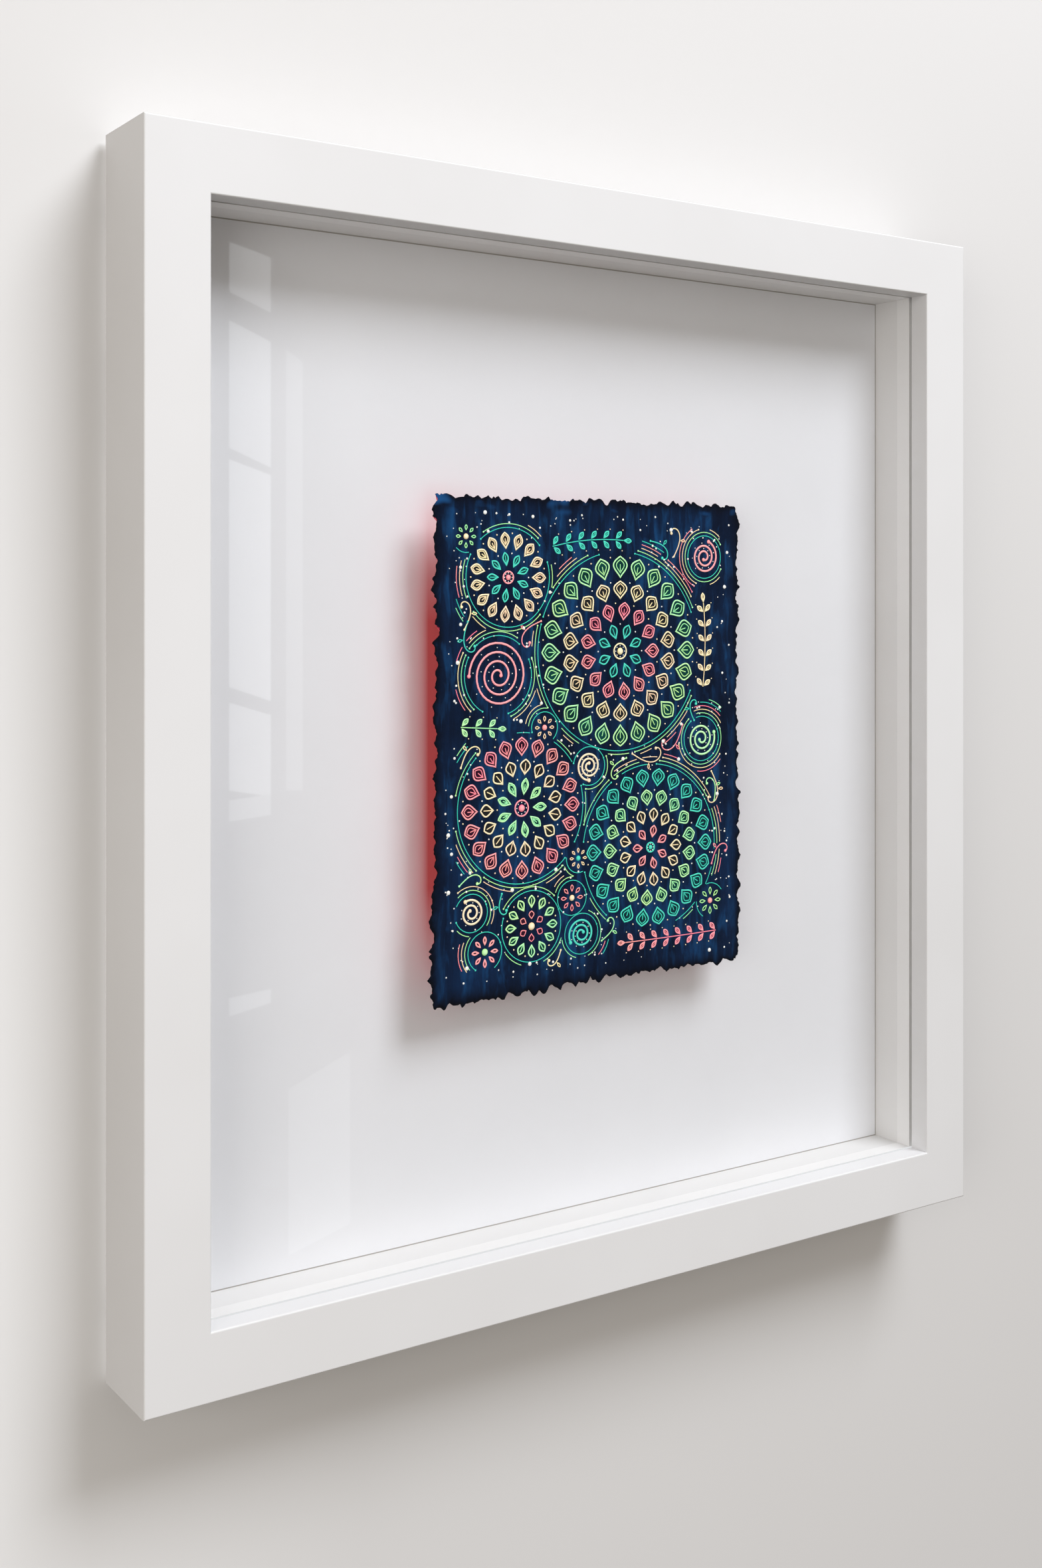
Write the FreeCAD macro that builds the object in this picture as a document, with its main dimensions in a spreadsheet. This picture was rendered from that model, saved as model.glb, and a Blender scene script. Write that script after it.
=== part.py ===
import FreeCAD, Part
import math
import os
import re
import Sketcher

# A deep box frame with glass, spacers and a white mount board, and a deckle-edged sheet of
# handmade paper that floats in front of the board. Millimetres, +Z up, the front faces -Y.
# The origin is the middle of the footprint, on the underside of the bottom rail.

os.makedirs("parts", exist_ok=True)
doc = FreeCAD.newDocument("framed_drawing")
V = FreeCAD.Vector
turn = FreeCAD.Rotation

# Driving sizes
driving_sizes = [
    ("frame_width", 508.0, "outside width of the frame"),
    ("frame_height", 559.0, "outside height of the frame"),
    ("face_width", 31.0, "width of a rail, seen from the front"),
    ("rail_depth", 46.0, "depth of a rail, front to back"),
    ("lip_depth", 12.0, "front face to the glass"),
    ("rebate_width", 8.0, "how far the lip covers the glass"),
    ("edge_round", 0.8, "radius on the long edges of a rail"),
    ("insert_clearance", 0.8, "gap between the rebate's wall and what lies in it"),
    ("glass_thickness", 2.0, "picture glass"),
    ("board_thickness", 1.5, "mount board"),
    ("backing_thickness", 2.5, "hardboard back"),
    ("backing_inset", 1.0, "back of the backing to the back of the rails"),
    ("sheet_width", 197.5, "paper sheet at its foot, deckle to deckle"),
    ("sheet_height", 250.0, "paper sheet, deckle to deckle"),
    ("sheet_thickness", 0.8, "heavy handmade paper"),
    ("sheet_drop", 1.3, "middle of the sheet below the middle of the frame"),
    ("sheet_flare", 1.5, "how far each side of the sheet leans in from foot to top"),
    ("deckle_depth", 1.7, "how far the torn edge wanders"),
    ("corner_round", 5.0, "radius of the sheet's worn corners"),
    ("ink_thickness", 0.3, "height of the paint of the figures"),
    ("art_margin", 14.5, "bare border round the figures"),
    ("riser_thickness", 9.5, "one foam board pad, of two"),
    ("riser_inset", 30.0, "edge of the sheet to the edge of a pad"),
    ("hinge_thickness", 0.3, "paper hinge with its paste"),
    ("hinge_width", 26.0, "paper hinge, across"),
    ("hinge_height", 18.0, "paper hinge, up and down"),
    ("hinge_inset", 6.0, "edge of a pad to the edge of a hinge"),
    ("nail_height", 10.0, "V nail, along the depth of the rail"),
    ("nail_leg", 6.0, "V nail, length of one leg"),
    ("nail_gauge", 0.8, "V nail, thickness of its steel"),
    ("nail_near", 6.0, "outer V nail from the rail's outside"),
    ("nail_far", 14.0, "inner V nail from the rail's outside"),
    ("nail_sink", 0.5, "V nail below the back of the rail"),
    ("slot_clearance", 0.05, "gap round what is driven into the rails"),
    ("point_length", 11.0, "framer's point, tip to tip"),
    ("point_grip", 4.0, "part of a framer's point that is driven into the rail"),
    ("point_width", 8.0, "framer's point, across"),
    ("point_thickness", 0.5, "framer's point"),
    ("points_per_rail", 3.0, "framer's points in each rail"),
    ("hanger_length", 46.0, "keyhole plate, up and down"),
    ("hanger_width", 14.0, "keyhole plate, across"),
    ("hanger_thickness", 1.2, "keyhole plate"),
    ("hanger_round", 3.0, "radius of the plate's corners"),
    ("hanger_drop", 120.0, "top of the frame to the middle of the plate"),
    ("hanger_clearance", 0.2, "gap round the plate in its recess"),
    ("keyhole_radius", 4.5, "round part that the screw's head passes"),
    ("keyslot_radius", 2.4, "half the width of the slot above it"),
    ("keyslot_rise", 10.0, "round part to the end of the slot, centre to centre"),
    ("hook_pocket_depth", 9.0, "room for the screw's head behind the plate"),
    ("hook_pocket_width", 11.0, "room for the screw's head, across"),
    ("hook_pocket_length", 24.0, "room for the screw's head, up and down"),
    ("screw_spacing", 36.0, "between the two screws of a plate"),
    ("screw_radius", 1.4, "shank of a plate's screw"),
    ("screw_head_radius", 2.8, "countersunk head of a plate's screw"),
    ("screw_length", 13.0, "plate's screw, head and tip included"),
    ("screw_point", 3.0, "tapered tip of a plate's screw"),
    ("bumper_radius", 6.0, "round pad on the back"),
    ("bumper_thickness", 3.0, "round pad on the back"),
    ("bumper_inset", 34.0, "pad from the corner, along the side rail"),
]
sizes = doc.addObject("Spreadsheet::Sheet", "sizes")
for row, (alias, number, note) in enumerate(driving_sizes, start=1):
    sizes.set(f"A{row}", alias)
    sizes.set(f"B{row}", str(number))
    sizes.setAlias(f"B{row}", alias)
    sizes.set(f"C{row}", note)
doc.recompute()


def formula(text):
    # a sheet name in a formula gets the sheet's own name in front of it
    return re.sub(r"[a-z]+(_[a-z]+)+", r"sizes.\g<0>", text)


def value(text):
    return float(sizes.evalExpression(formula(text)))


def bind(item, **formulas):
    # a keyword such as Base_x stands for Placement.Base.x
    for name, text in formulas.items():
        path = "Placement.Base." + name[-1] if name.startswith("Base_") else name
        item.setExpression(path, formula(text))


# Depths behind one another, front to back, and the sizes that several pieces share
front = "(-(rail_depth + bumper_thickness) / 2)"
rail_back = f"({front} + rail_depth)"
glass_front = f"({front} + lip_depth)"
spacer_front = f"({glass_front} + glass_thickness)"
backing_back = f"({rail_back} - backing_inset)"
backing_front = f"({backing_back} - backing_thickness)"
board_front = f"({backing_front} - board_thickness)"
sheet_back = f"({board_front} - 2 * riser_thickness - hinge_thickness)"
sheet_front = f"({sheet_back} - sheet_thickness)"
spacer_width = "(rebate_width - insert_clearance)"
sight_width = "(frame_width - 2 * face_width)"
sight_height = "(frame_height - 2 * face_width)"
insert_width = f"({sight_width} + 2 * {spacer_width})"
insert_height = f"({sight_height} + 2 * {spacer_width})"
insert_foot = f"(face_width - {spacer_width})"
wall_middle = "((face_width - rebate_width) / 2)"
sheet_middle = "(frame_height / 2 - sheet_drop)"
riser_width = "(sheet_width - 2 * riser_inset)"
riser_height = "(sheet_height - 2 * riser_inset)"

nodes = {}


def keep(item, node):
    item.Label = node
    nodes[node] = item


def add_plate(node, width, depth, height, x, y, z):
    plate = doc.addObject("Part::Box", node)
    bind(plate, Length=width, Width=depth, Height=height, Base_x=x, Base_y=y, Base_z=z)
    keep(plate, node)


# Sketches for the rails

def new_sketch(body, name, height=None):
    plane = next(item for item in body.Origin.OriginFeatures if item.Role == "XY_Plane")
    sketch = body.newObject("Sketcher::SketchObject", name)
    sketch.AttachmentSupport = [(plane, "")]
    sketch.MapMode = "FlatFace"
    if height:
        sketch.setExpression("AttachmentOffset.Base.z", formula(height))
    return sketch


def hold_point(sketch, line, end, x, y):
    for kind, axis, text in (("DistanceX", -2, x), ("DistanceY", -1, y)):
        if text == "0":
            sketch.addConstraint(Sketcher.Constraint("PointOnObject", line, end, axis))
            continue
        index = sketch.addConstraint(Sketcher.Constraint(kind, -1, 1, line, end, value(text)))
        sketch.setExpression(f"Constraints[{index}]", formula(text))


def add_outline(sketch, corners):
    # a closed outline of straight lines; each corner is a pair of formulas
    first = sketch.GeometryCount
    places = [V(value(x), value(y), 0) for x, y in corners]
    for start, end in zip(places, places[1:] + places[:1]):
        sketch.addGeometry(Part.LineSegment(start, end))
    for index, (x, y) in enumerate(corners):
        before = first + (index - 1) % len(corners)
        sketch.addConstraint(Sketcher.Constraint("Coincident", before, 2, first + index, 1))
        hold_point(sketch, first + index, 1, x, y)


def add_rectangle(sketch, left, low, right, high):
    add_outline(sketch, [(left, low), (right, low), (right, high), (left, high)])


def add_circle(sketch, x, y, radius):
    centre = V(value(x), value(y), 0)
    line = sketch.addGeometry(Part.Circle(centre, V(0, 0, 1), value(radius)))
    hold_point(sketch, line, 3, x, y)
    index = sketch.addConstraint(Sketcher.Constraint("Radius", line, value(radius)))
    sketch.setExpression(f"Constraints[{index}]", formula(radius))


def cut_from_back(body, sketch, depth):
    # a rail's own back is its XY plane and the rail lies above it, so the cut goes up
    pocket = body.newObject("PartDesign::Pocket", sketch.Name + "_cut")
    pocket.Profile = sketch
    pocket.Reversed = True
    pocket.setExpression("Length", formula(depth))
    sketch.Visibility = False
    before = body.Shape.Volume
    doc.recompute()
    if body.Shape.Volume >= before:
        raise ValueError(sketch.Name + " cuts nothing")


# Rails. A rail lies along its own X, its outside on Y = 0, its back on Z = 0.

def nail_outline(near, end):
    # the L that a V nail makes across the mitre, seen from the back, with its slot's clearance
    across = {
        "start": lambda text: f"({text})",
        "finish": lambda text: f"({end} - ({text}))",
    }
    low = f"{near} - slot_clearance"
    inner = f"{near} + nail_gauge + slot_clearance"
    tip = f"{near} + nail_leg + slot_clearance"
    corners = [(low, low), (tip, low), (tip, inner), (inner, inner), (inner, tip), (low, tip)]
    return {name: [(flip(x), y) for x, y in corners] for name, flip in across.items()}


def add_rail(node, length, angle, x, z, hanger_place=None):
    body = doc.addObject("PartDesign::Body", node)
    doc.recompute()

    outline = new_sketch(body, node + "_outline")
    add_outline(outline, [("0", "0"), (length, "0"), (f"{length} - face_width", "face_width"),
                          ("face_width", "face_width")])
    pad = body.newObject("PartDesign::Pad", node + "_pad")
    pad.Profile = outline
    pad.setExpression("Length", formula("rail_depth"))
    outline.Visibility = False
    doc.recompute()

    rebate = new_sketch(body, node + "_rebate")
    add_rectangle(rebate, "0", "face_width - rebate_width", length, "face_width + rebate_width")
    cut_from_back(body, rebate, "rail_depth - lip_depth")

    nails = new_sketch(body, node + "_nail_slots")
    for near in ("nail_near", "nail_far"):
        for corners in nail_outline(near, length).values():
            add_outline(nails, corners)
    cut_from_back(body, nails, "nail_height + nail_sink + slot_clearance")

    points = new_sketch(body, node + "_point_slots",
                        "backing_inset - point_thickness - slot_clearance")
    count = int(value("points_per_rail"))
    for number in range(1, count + 1):
        middle = f"{length} * {number} / {count + 1}"
        reach = "(point_width / 2 + slot_clearance)"
        add_rectangle(points, f"{middle} - {reach}",
                      "face_width - rebate_width - point_grip - slot_clearance",
                      f"{middle} + {reach}", "face_width - rebate_width + insert_clearance / 2")
    cut_from_back(body, points, "point_thickness + 2 * slot_clearance")

    if hanger_place:
        cut_hanger_seat(body, node, hanger_place)
    round_long_edges(body, node)

    body.Placement = FreeCAD.Placement(V(), turn(V(0, -1, 0), angle) * turn(V(1, 0, 0), 90))
    bind(body, Base_x=x, Base_y=rail_back, Base_z=z)
    keep(body, node)


def cut_hanger_seat(body, node, place):
    seats = [
        ("_plate_seat", "hanger_length / 2 + hanger_clearance",
         "hanger_width / 2 + hanger_clearance", "hanger_thickness"),
        ("_hook_pocket", "hook_pocket_length / 2", "hook_pocket_width / 2",
         "hanger_thickness + hook_pocket_depth"),
    ]
    for name, half_length, half_width, depth in seats:
        seat = new_sketch(body, node + name)
        add_rectangle(seat, f"{place} - ({half_length})", f"{wall_middle} - ({half_width})",
                      f"{place} + ({half_length})", f"{wall_middle} + ({half_width})")
        cut_from_back(body, seat, depth)
    holes = new_sketch(body, node + "_screw_holes")
    for side in ("-", "+"):
        add_circle(holes, f"{place} {side} screw_spacing / 2", wall_middle,
                   "screw_radius + slot_clearance")
    cut_from_back(body, holes, "screw_length + slot_clearance")


def round_long_edges(body, node):
    depth = value("rail_depth")
    face = value("face_width")
    lines = ((0, 0), (0, depth), (face, depth))
    names = []
    for number, edge in enumerate(body.Shape.Edges, start=1):
        start, end = edge.Vertexes[0].Point, edge.Vertexes[-1].Point
        along = abs(end.y - start.y) < 1e-6 and abs(end.z - start.z) < 1e-6
        for y, z in lines:
            if along and abs(start.y - y) < 1e-6 and abs(start.z - z) < 1e-6:
                names.append(f"Edge{number}")
    cut_rail = body.Tip
    rounding = body.newObject("PartDesign::Fillet", node + "_rounding")
    rounding.Base = (cut_rail, names)
    rounding.setExpression("Radius", formula("edge_round"))
    doc.recompute()


add_rail("rail_bottom", "frame_width", 0, "-frame_width / 2", "0")
add_rail("rail_right", "frame_height", 90, "frame_width / 2", "0",
         "(frame_height - hanger_drop)")
add_rail("rail_top", "frame_width", 180, "frame_width / 2", "frame_height")
add_rail("rail_left", "frame_height", 270, "-frame_width / 2", "frame_height", "hanger_drop")

# What lies in the rebate: glass, spacers, mount board and backing
add_plate("glazing", insert_width, "glass_thickness", insert_height,
          f"-{insert_width} / 2", glass_front, insert_foot)
spacer_depth = f"({board_front} - {spacer_front})"
for node, foot in (("spacer_bottom", insert_foot), ("spacer_top", "frame_height - face_width")):
    add_plate(node, insert_width, spacer_depth, spacer_width,
              f"-{insert_width} / 2", spacer_front, foot)
for node, left in (("spacer_left", f"-{insert_width} / 2"), ("spacer_right", f"{sight_width} / 2")):
    add_plate(node, spacer_width, spacer_depth, sight_height, left, spacer_front, "face_width")
add_plate("mount_board", insert_width, "board_thickness", insert_height,
          f"-{insert_width} / 2", board_front, insert_foot)
add_plate("backing_board", insert_width, "backing_thickness", insert_height,
          f"-{insert_width} / 2", backing_front, insert_foot)

# The float: two foam board pads, and four paper hinges on the front one
for node, layer in (("riser_back", 1), ("riser_front", 2)):
    add_plate(node, riser_width, "riser_thickness", riser_height, f"-{riser_width} / 2",
              f"{board_front} - {layer} * riser_thickness",
              f"{sheet_middle} - {riser_height} / 2")
hinge_columns = {
    "left": f"-{riser_width} / 2 + hinge_inset",
    "right": f"{riser_width} / 2 - hinge_inset - hinge_width",
}
hinge_rows = {
    "bottom": f"{sheet_middle} - {riser_height} / 2 + hinge_inset",
    "top": f"{sheet_middle} + {riser_height} / 2 - hinge_inset - hinge_height",
}
for row_name, foot in hinge_rows.items():
    for column_name, left in hinge_columns.items():
        add_plate(f"hinge_{row_name}_{column_name}", "hinge_width", "hinge_thickness",
                  "hinge_height", left, sheet_back, foot)


# Keyhole plates, each let into the back of a side rail

def add_box(name, width, depth, height, x, y, z):
    box = doc.addObject("Part::Box", name)
    bind(box, Length=width, Width=depth, Height=height, Base_x=x, Base_y=y, Base_z=z)
    return box


def add_bore(name, radius, x, z):
    # a round tool along Y, through the plate with a little to spare at both faces
    bore = doc.addObject("Part::Cylinder", name)
    bore.Placement.Rotation = turn(V(1, 0, 0), -90)
    bind(bore, Radius=radius, Height="3 * hanger_thickness", Base_x=x,
         Base_y=f"{rail_back} - 2 * hanger_thickness", Base_z=z)
    return bore


def add_hanger(node, middle):
    height = "(frame_height - hanger_drop)"
    hole = f"{height} - keyslot_rise / 2"
    blank = add_box(node + "_blank", "hanger_width", "hanger_thickness", "hanger_length",
                    f"{middle} - hanger_width / 2", f"{rail_back} - hanger_thickness",
                    f"{height} - hanger_length / 2")
    doc.recompute()
    corners = [number for number, edge in enumerate(blank.Shape.Edges, start=1)
               if abs(edge.Vertexes[0].Y - edge.Vertexes[-1].Y) > 1e-6]
    plate = doc.addObject("Part::Fillet", node + "_plate")
    plate.Base = blank
    plate.Edges = [(number, value("hanger_round"), value("hanger_round")) for number in corners]
    tools = [
        add_bore(node + "_keyhole", "keyhole_radius", middle, hole),
        add_bore(node + "_slot_end", "keyslot_radius", middle, f"{hole} + keyslot_rise"),
        add_box(node + "_slot", "2 * keyslot_radius", "3 * hanger_thickness", "keyslot_rise",
                f"{middle} - keyslot_radius", f"{rail_back} - 2 * hanger_thickness", hole),
    ]
    for side in ("-", "+"):
        tools.append(add_countersink(node, middle, f"{height} {side} screw_spacing / 2", side))
    holes = doc.addObject("Part::MultiFuse", node + "_holes")
    holes.Shapes = tools
    hanger = doc.addObject("Part::Cut", node)
    hanger.Base = plate
    hanger.Tool = holes
    keep(hanger, node)


def add_countersink(node, x, z, side):
    # the cone that a countersunk head fills, from the plate's back face to its front
    cone = doc.addObject("Part::Cone", node + ("_sink_low" if side == "-" else "_sink_high"))
    cone.Placement.Rotation = turn(V(1, 0, 0), 90)
    bind(cone, Radius1="screw_head_radius + slot_clearance", Height="hanger_thickness",
         Radius2="screw_radius + slot_clearance", Base_x=x, Base_y=rail_back, Base_z=z)
    return cone


side_middle = f"(frame_width / 2 - {wall_middle})"
add_hanger("hanger_left", f"(-{side_middle})")
add_hanger("hanger_right", side_middle)

# Round pads near the ends of the side rails
for row_name, z in (("bottom", "bumper_inset"), ("top", "frame_height - bumper_inset")):
    for column_name, x in (("left", f"-{side_middle}"), ("right", side_middle)):
        pad = doc.addObject("Part::Cylinder", f"bumper_{row_name}_{column_name}")
        pad.Placement.Rotation = turn(V(1, 0, 0), -90)
        bind(pad, Radius="bumper_radius", Height="bumper_thickness", Base_x=x,
             Base_y=rail_back, Base_z=z)
        keep(pad, pad.Name)


def add_group(node, solids):
    group = doc.addObject("Part::Feature", node)
    group.Shape = Part.makeCompound(solids)
    keep(group, node)


# Fasteners, each kind in one group

def mirrored(points):
    # the same places at all four corners of the frame, as (x, z) pairs
    half, top = value("frame_width") / 2, value("frame_height")
    for across in (-1, 1):
        for up in (-1, 1):
            yield [(across * (half - u), v if up < 0 else top - v) for u, v in points]


def extruded(points, y, thickness):
    # a flat outline in X and Z, thickened towards the back
    wire = Part.makePolygon([V(x, y, z) for x, z in points + points[:1]])
    return Part.Face(wire).extrude(V(0, thickness, 0))


def v_nails():
    leg, gauge = value("nail_leg"), value("nail_gauge")
    low_face = value(rail_back) - value("nail_sink") - value("nail_height")
    solids = []
    for near in (value("nail_near"), value("nail_far")):
        bend, tip = near + gauge, near + leg
        plan = [(near, near), (tip, near), (tip, bend), (bend, bend), (bend, tip), (near, tip)]
        for points in mirrored(plan):
            solids.append(extruded(points, low_face, value("nail_height")))
    return solids


def framer_points():
    count = int(value("points_per_rail"))
    width, height = value("frame_width"), value("frame_height")
    reach, half = value("point_length") / 2, value("point_width") / 2
    line = value("face_width") - value("rebate_width") - value("point_grip") + reach
    lengthwise = [width * number / (count + 1) - width / 2 for number in range(1, count + 1)]
    upwards = [height * number / (count + 1) for number in range(1, count + 1)]
    centres = [(x, z, half, reach) for x in lengthwise for z in (line, height - line)]
    centres += [(x, z, reach, half) for z in upwards for x in (line - width / 2, width / 2 - line)]
    solids = []
    for x, z, dx, dz in centres:
        blunt_x, blunt_z = dx / 2, dz / 2
        plan = [(x - blunt_x, z - dz), (x + blunt_x, z - dz), (x + dx, z - blunt_z),
                (x + dx, z + blunt_z), (x + blunt_x, z + dz), (x - blunt_x, z + dz),
                (x - dx, z + blunt_z), (x - dx, z - blunt_z)]
        solids.append(extruded(plan, value(backing_back), value("point_thickness")))
    return solids


def hanger_screws():
    head, shank = value("screw_head_radius"), value("screw_radius")
    seat, length = value("hanger_thickness"), value("screw_length")
    taper = length - value("screw_point")
    profile = [V(0, 0, 0), V(head, 0, 0), V(shank, seat, 0), V(shank, taper, 0), V(0, length, 0)]
    solids = []
    for x in (-value(side_middle), value(side_middle)):
        for side in (-0.5, 0.5):
            height = value("frame_height - hanger_drop") + side * value("screw_spacing")
            screw = Part.Face(Part.makePolygon(profile + profile[:1]))
            screw = screw.revolve(V(0, 0, 0), V(0, 1, 0), 360)
            screw.Placement = FreeCAD.Placement(V(x, value(rail_back), height),
                                                turn(V(0, 0, 1), 180))
            solids.append(screw)
    return solids


add_group("v_nails", v_nails())
add_group("framer_points", framer_points())
add_group("hanger_screws", hanger_screws())


# Paper sheet. Its outline is a rectangle with worn corners, flared a little towards the foot,
# and its deckle is a sum of waves round the edge: waves round the sheet, height, start.

deckle_waves = [(4, 0.24, 0.15), (9, 0.24, 0.62), (17, 0.24, 0.37), (31, 0.24, 0.81),
                (53, 0.22, 0.05), (83, 0.16, 0.48)]
outline_steps = 260


def deckle(turn_part):
    # how far the edge lies inside the outline, for a place from 0 to 1 round the sheet
    waves = sum(height * math.cos(2 * math.pi * (count * turn_part + shift))
                for count, height, shift in deckle_waves)
    return value("deckle_depth") * (0.5 + 0.5 * waves)


def sheet_edge():
    # evenly spaced places on the sheet's edge, clockwise from the middle of the top
    half_width, half_height = value("sheet_width") / 2, value("sheet_height") / 2
    radius = value("corner_round")
    right, high = half_width - radius, half_height - radius
    corners = [(right, high, 90), (right, -high, 0), (-right, -high, -90), (-right, high, -180)]
    arcs = [Part.Arc(Part.Circle(V(x, y, 0), V(0, 0, 1), radius),
                     math.radians(start - 90), math.radians(start)) for x, y, start in corners]
    edges = []
    last = V(0, half_height, 0)
    for arc in arcs:
        edges += [Part.LineSegment(last, arc.EndPoint).toShape(), arc.toShape()]
        last = arc.StartPoint
    edges.append(Part.LineSegment(last, V(0, half_height, 0)).toShape())

    spacing = sum(edge.Length for edge in edges) / outline_steps
    places = []
    left = 0.0
    for edge in edges:
        clockwise = edge.Curve.TypeId == "Part::GeomLine"
        while left < edge.Length - 1e-6:
            along = edge.getParameterByLength(left if clockwise else edge.Length - left)
            point, heading = edge.valueAt(along), edge.tangentAt(along)
            outward = V(-heading.y, heading.x, 0) * (1 if clockwise else -1)
            point = point - outward * deckle(len(places) / outline_steps)
            point.x *= 1 - value("sheet_flare") / half_width * (point.y / half_height + 1) / 2
            places.append(point)
            left += spacing
        left -= edge.Length
    return places


def paper_sheet():
    middle = value(sheet_middle)
    points = [(place.x, middle + place.y) for place in sheet_edge()]
    return [extruded(points, value(sheet_front), value("sheet_thickness"))]


add_group("paper_sheet", paper_sheet())

# Figures painted on the sheet: rosettes of petals, coils, sprigs of leaves and dots. They are
# drawn on a grid of 168 by 221 units about the sheet's middle, x to the right and y up.
grid_width, grid_height = 168.0, 221.0
art_scale = min((value("sheet_width") - 2 * value("art_margin")) / grid_width,
                (value("sheet_height") - 2 * value("art_margin")) / grid_height)
inks = {colour: [] for colour in ("pink", "cream", "green", "teal", "white")}

# centre x, centre y, then rings of (petals, inner radius, outer radius, colour), then the eye
rosettes = [
    (16, 46, [(24, 38, 50, "green"), (18, 27, 37, "cream"), (13, 16, 26, "pink"),
              (8, 6.5, 15, "teal")], (4.5, "cream")),
    (-46, -32, [(20, 26, 36, "pink"), (15, 16.5, 25, "cream"), (9, 6.5, 15.5, "green")],
     (4.5, "pink")),
    (36, -58, [(22, 32, 42, "teal"), (17, 22, 31, "green"), (13, 13, 21, "cream"),
               (7, 5, 12, "pink")], (3, "teal")),
    (-54, 84, [(15, 14, 23, "cream"), (9, 5.5, 13, "teal")], (3.5, "pink")),
    (-40, -92, [(12, 9, 16, "green"), (6, 3.5, 8, "pink")], (2, "cream")),
    (-32, 8, [(8, 2.8, 6, "cream")], (1.5, "pink")),
    (-11, -60, [(8, 2.6, 5.5, "cream")], (1.4, "teal")),
    (-15, -80, [(8, 3, 7, "pink")], (1.6, "cream")),
    (77, -90, [(8, 3, 7.5, "green")], (1.6, "pink")),
    (-68, -102, [(8, 3.2, 8, "pink")], (1.8, "green")),
    (-79, 104, [(8, 2.8, 6, "green")], (1.5, "cream")),
]
# centre x, centre y, outer radius, turns, start angle in degrees, colour
coils = [
    (-60, 35, 18, 3.5, 0, "pink"),
    (-4, -13, 8, 2.5, 90, "cream"),
    (71, -2, 10, 2.5, 200, "green"),
    (73, 96, 9.5, 2.5, 250, "pink"),
    (-9, -99, 8.5, 2.5, 30, "teal"),
    (-76, -82, 7.5, 2, 120, "cream"),
]
coil_line = 1.2
coil_start = 1.5
coil_steps_per_turn = 12
# foot x, foot y, heading in degrees, bend in degrees over its length, leaf pairs, colour
sprigs = [
    (-27, 100, 12, -18, 6, "teal"),
    (-82, 10, -4, 0, 3, "green"),
    (72, 26, 84, 14, 6, "cream"),
    (81, -106.5, 181, -2, 8, "pink"),
]
leaf_pitch, leaf_length, leaf_half = 8.0, 5.5, 1.5
leaf_angle = math.radians(48)
leaf_off_stem = 0.7
end_leaf_back = 2.5
petal_gap = 0.7
petal_taper = 0.18
smallest_fine_ring = 5.0
dot_margin = 7.0
dot_clearance = 2.5
dot_steps = 190


def petal_half(share):
    # a petal's half width along its length, from 0 at its foot to 1 at its tip
    return math.sin(math.pi * share ** 1.3)


def flat_figure(points):
    middle = value(sheet_middle)
    placed = [(x * art_scale, middle + y * art_scale) for x, y in points]
    thickness = value("ink_thickness")
    return extruded(placed, value(sheet_front) - thickness, thickness)


def petal(x, y, angle, length, half, steps=4):
    # a petal or leaf with its foot at x, y
    shares = [step / steps for step in range(steps + 1)]
    upper = [(length * share, half * petal_half(share)) for share in shares]
    upper[0], upper[-1] = (0.0, 0.0), (length, 0.0)
    outline = upper + [(along, -side) for along, side in reversed(upper[1:-1])]
    cosine, sine = math.cos(angle), math.sin(angle)
    return flat_figure([(x + along * cosine - side * sine, y + along * sine + side * cosine)
                        for along, side in outline])


def dot(x, y, radius, sides=6):
    steps = [2 * math.pi * side / sides for side in range(sides)]
    return flat_figure([(x + radius * math.cos(a), y + radius * math.sin(a)) for a in steps])


def add_rosette(x, y, rings, eye):
    for number, (count, inner, outer, colour) in enumerate(rings):
        count = round(count)
        half = (inner + petal_taper * (outer - inner)) * math.sin(math.pi / count)
        for index in range(count):
            angle = 2 * math.pi * (index + 0.5 * (number % 2)) / count
            foot = (x + inner * math.cos(angle), y + inner * math.sin(angle))
            inks[colour].append(petal(*foot, angle, outer - inner, half - petal_gap / 2,
                                      steps=4 if inner > smallest_fine_ring else 3))
    inks[eye[1]].append(dot(x, y, eye[0], sides=12))


def add_coil(x, y, radius, turns, start, colour):
    steps = int(turns * coil_steps_per_turn)
    outside, inside = [], []
    for step in range(steps + 1):
        share = step / steps
        angle = math.radians(start) + 2 * math.pi * turns * share
        centre = coil_start + (radius - coil_start - coil_line / 2) * share
        for line, offset in ((outside, coil_line / 2), (inside, -coil_line / 2)):
            reach = centre + offset
            line.append((x + reach * math.cos(angle), y + reach * math.sin(angle)))
    inks[colour].append(flat_figure(outside + inside[::-1]))


def add_sprig(x, y, heading, bend, pairs, colour):
    for index in range(round(pairs)):
        direction = math.radians(heading + bend * index / pairs)
        for side in (-1, 1):
            angle = direction + side * leaf_angle
            foot = (x + leaf_off_stem * math.cos(angle), y + leaf_off_stem * math.sin(angle))
            inks[colour].append(petal(*foot, angle, leaf_length, leaf_half, steps=3))
        x += leaf_pitch * math.cos(direction)
        y += leaf_pitch * math.sin(direction)
    foot = (x - end_leaf_back * math.cos(direction), y - end_leaf_back * math.sin(direction))
    inks[colour].append(petal(*foot, direction, leaf_length, leaf_half, steps=3))


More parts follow.
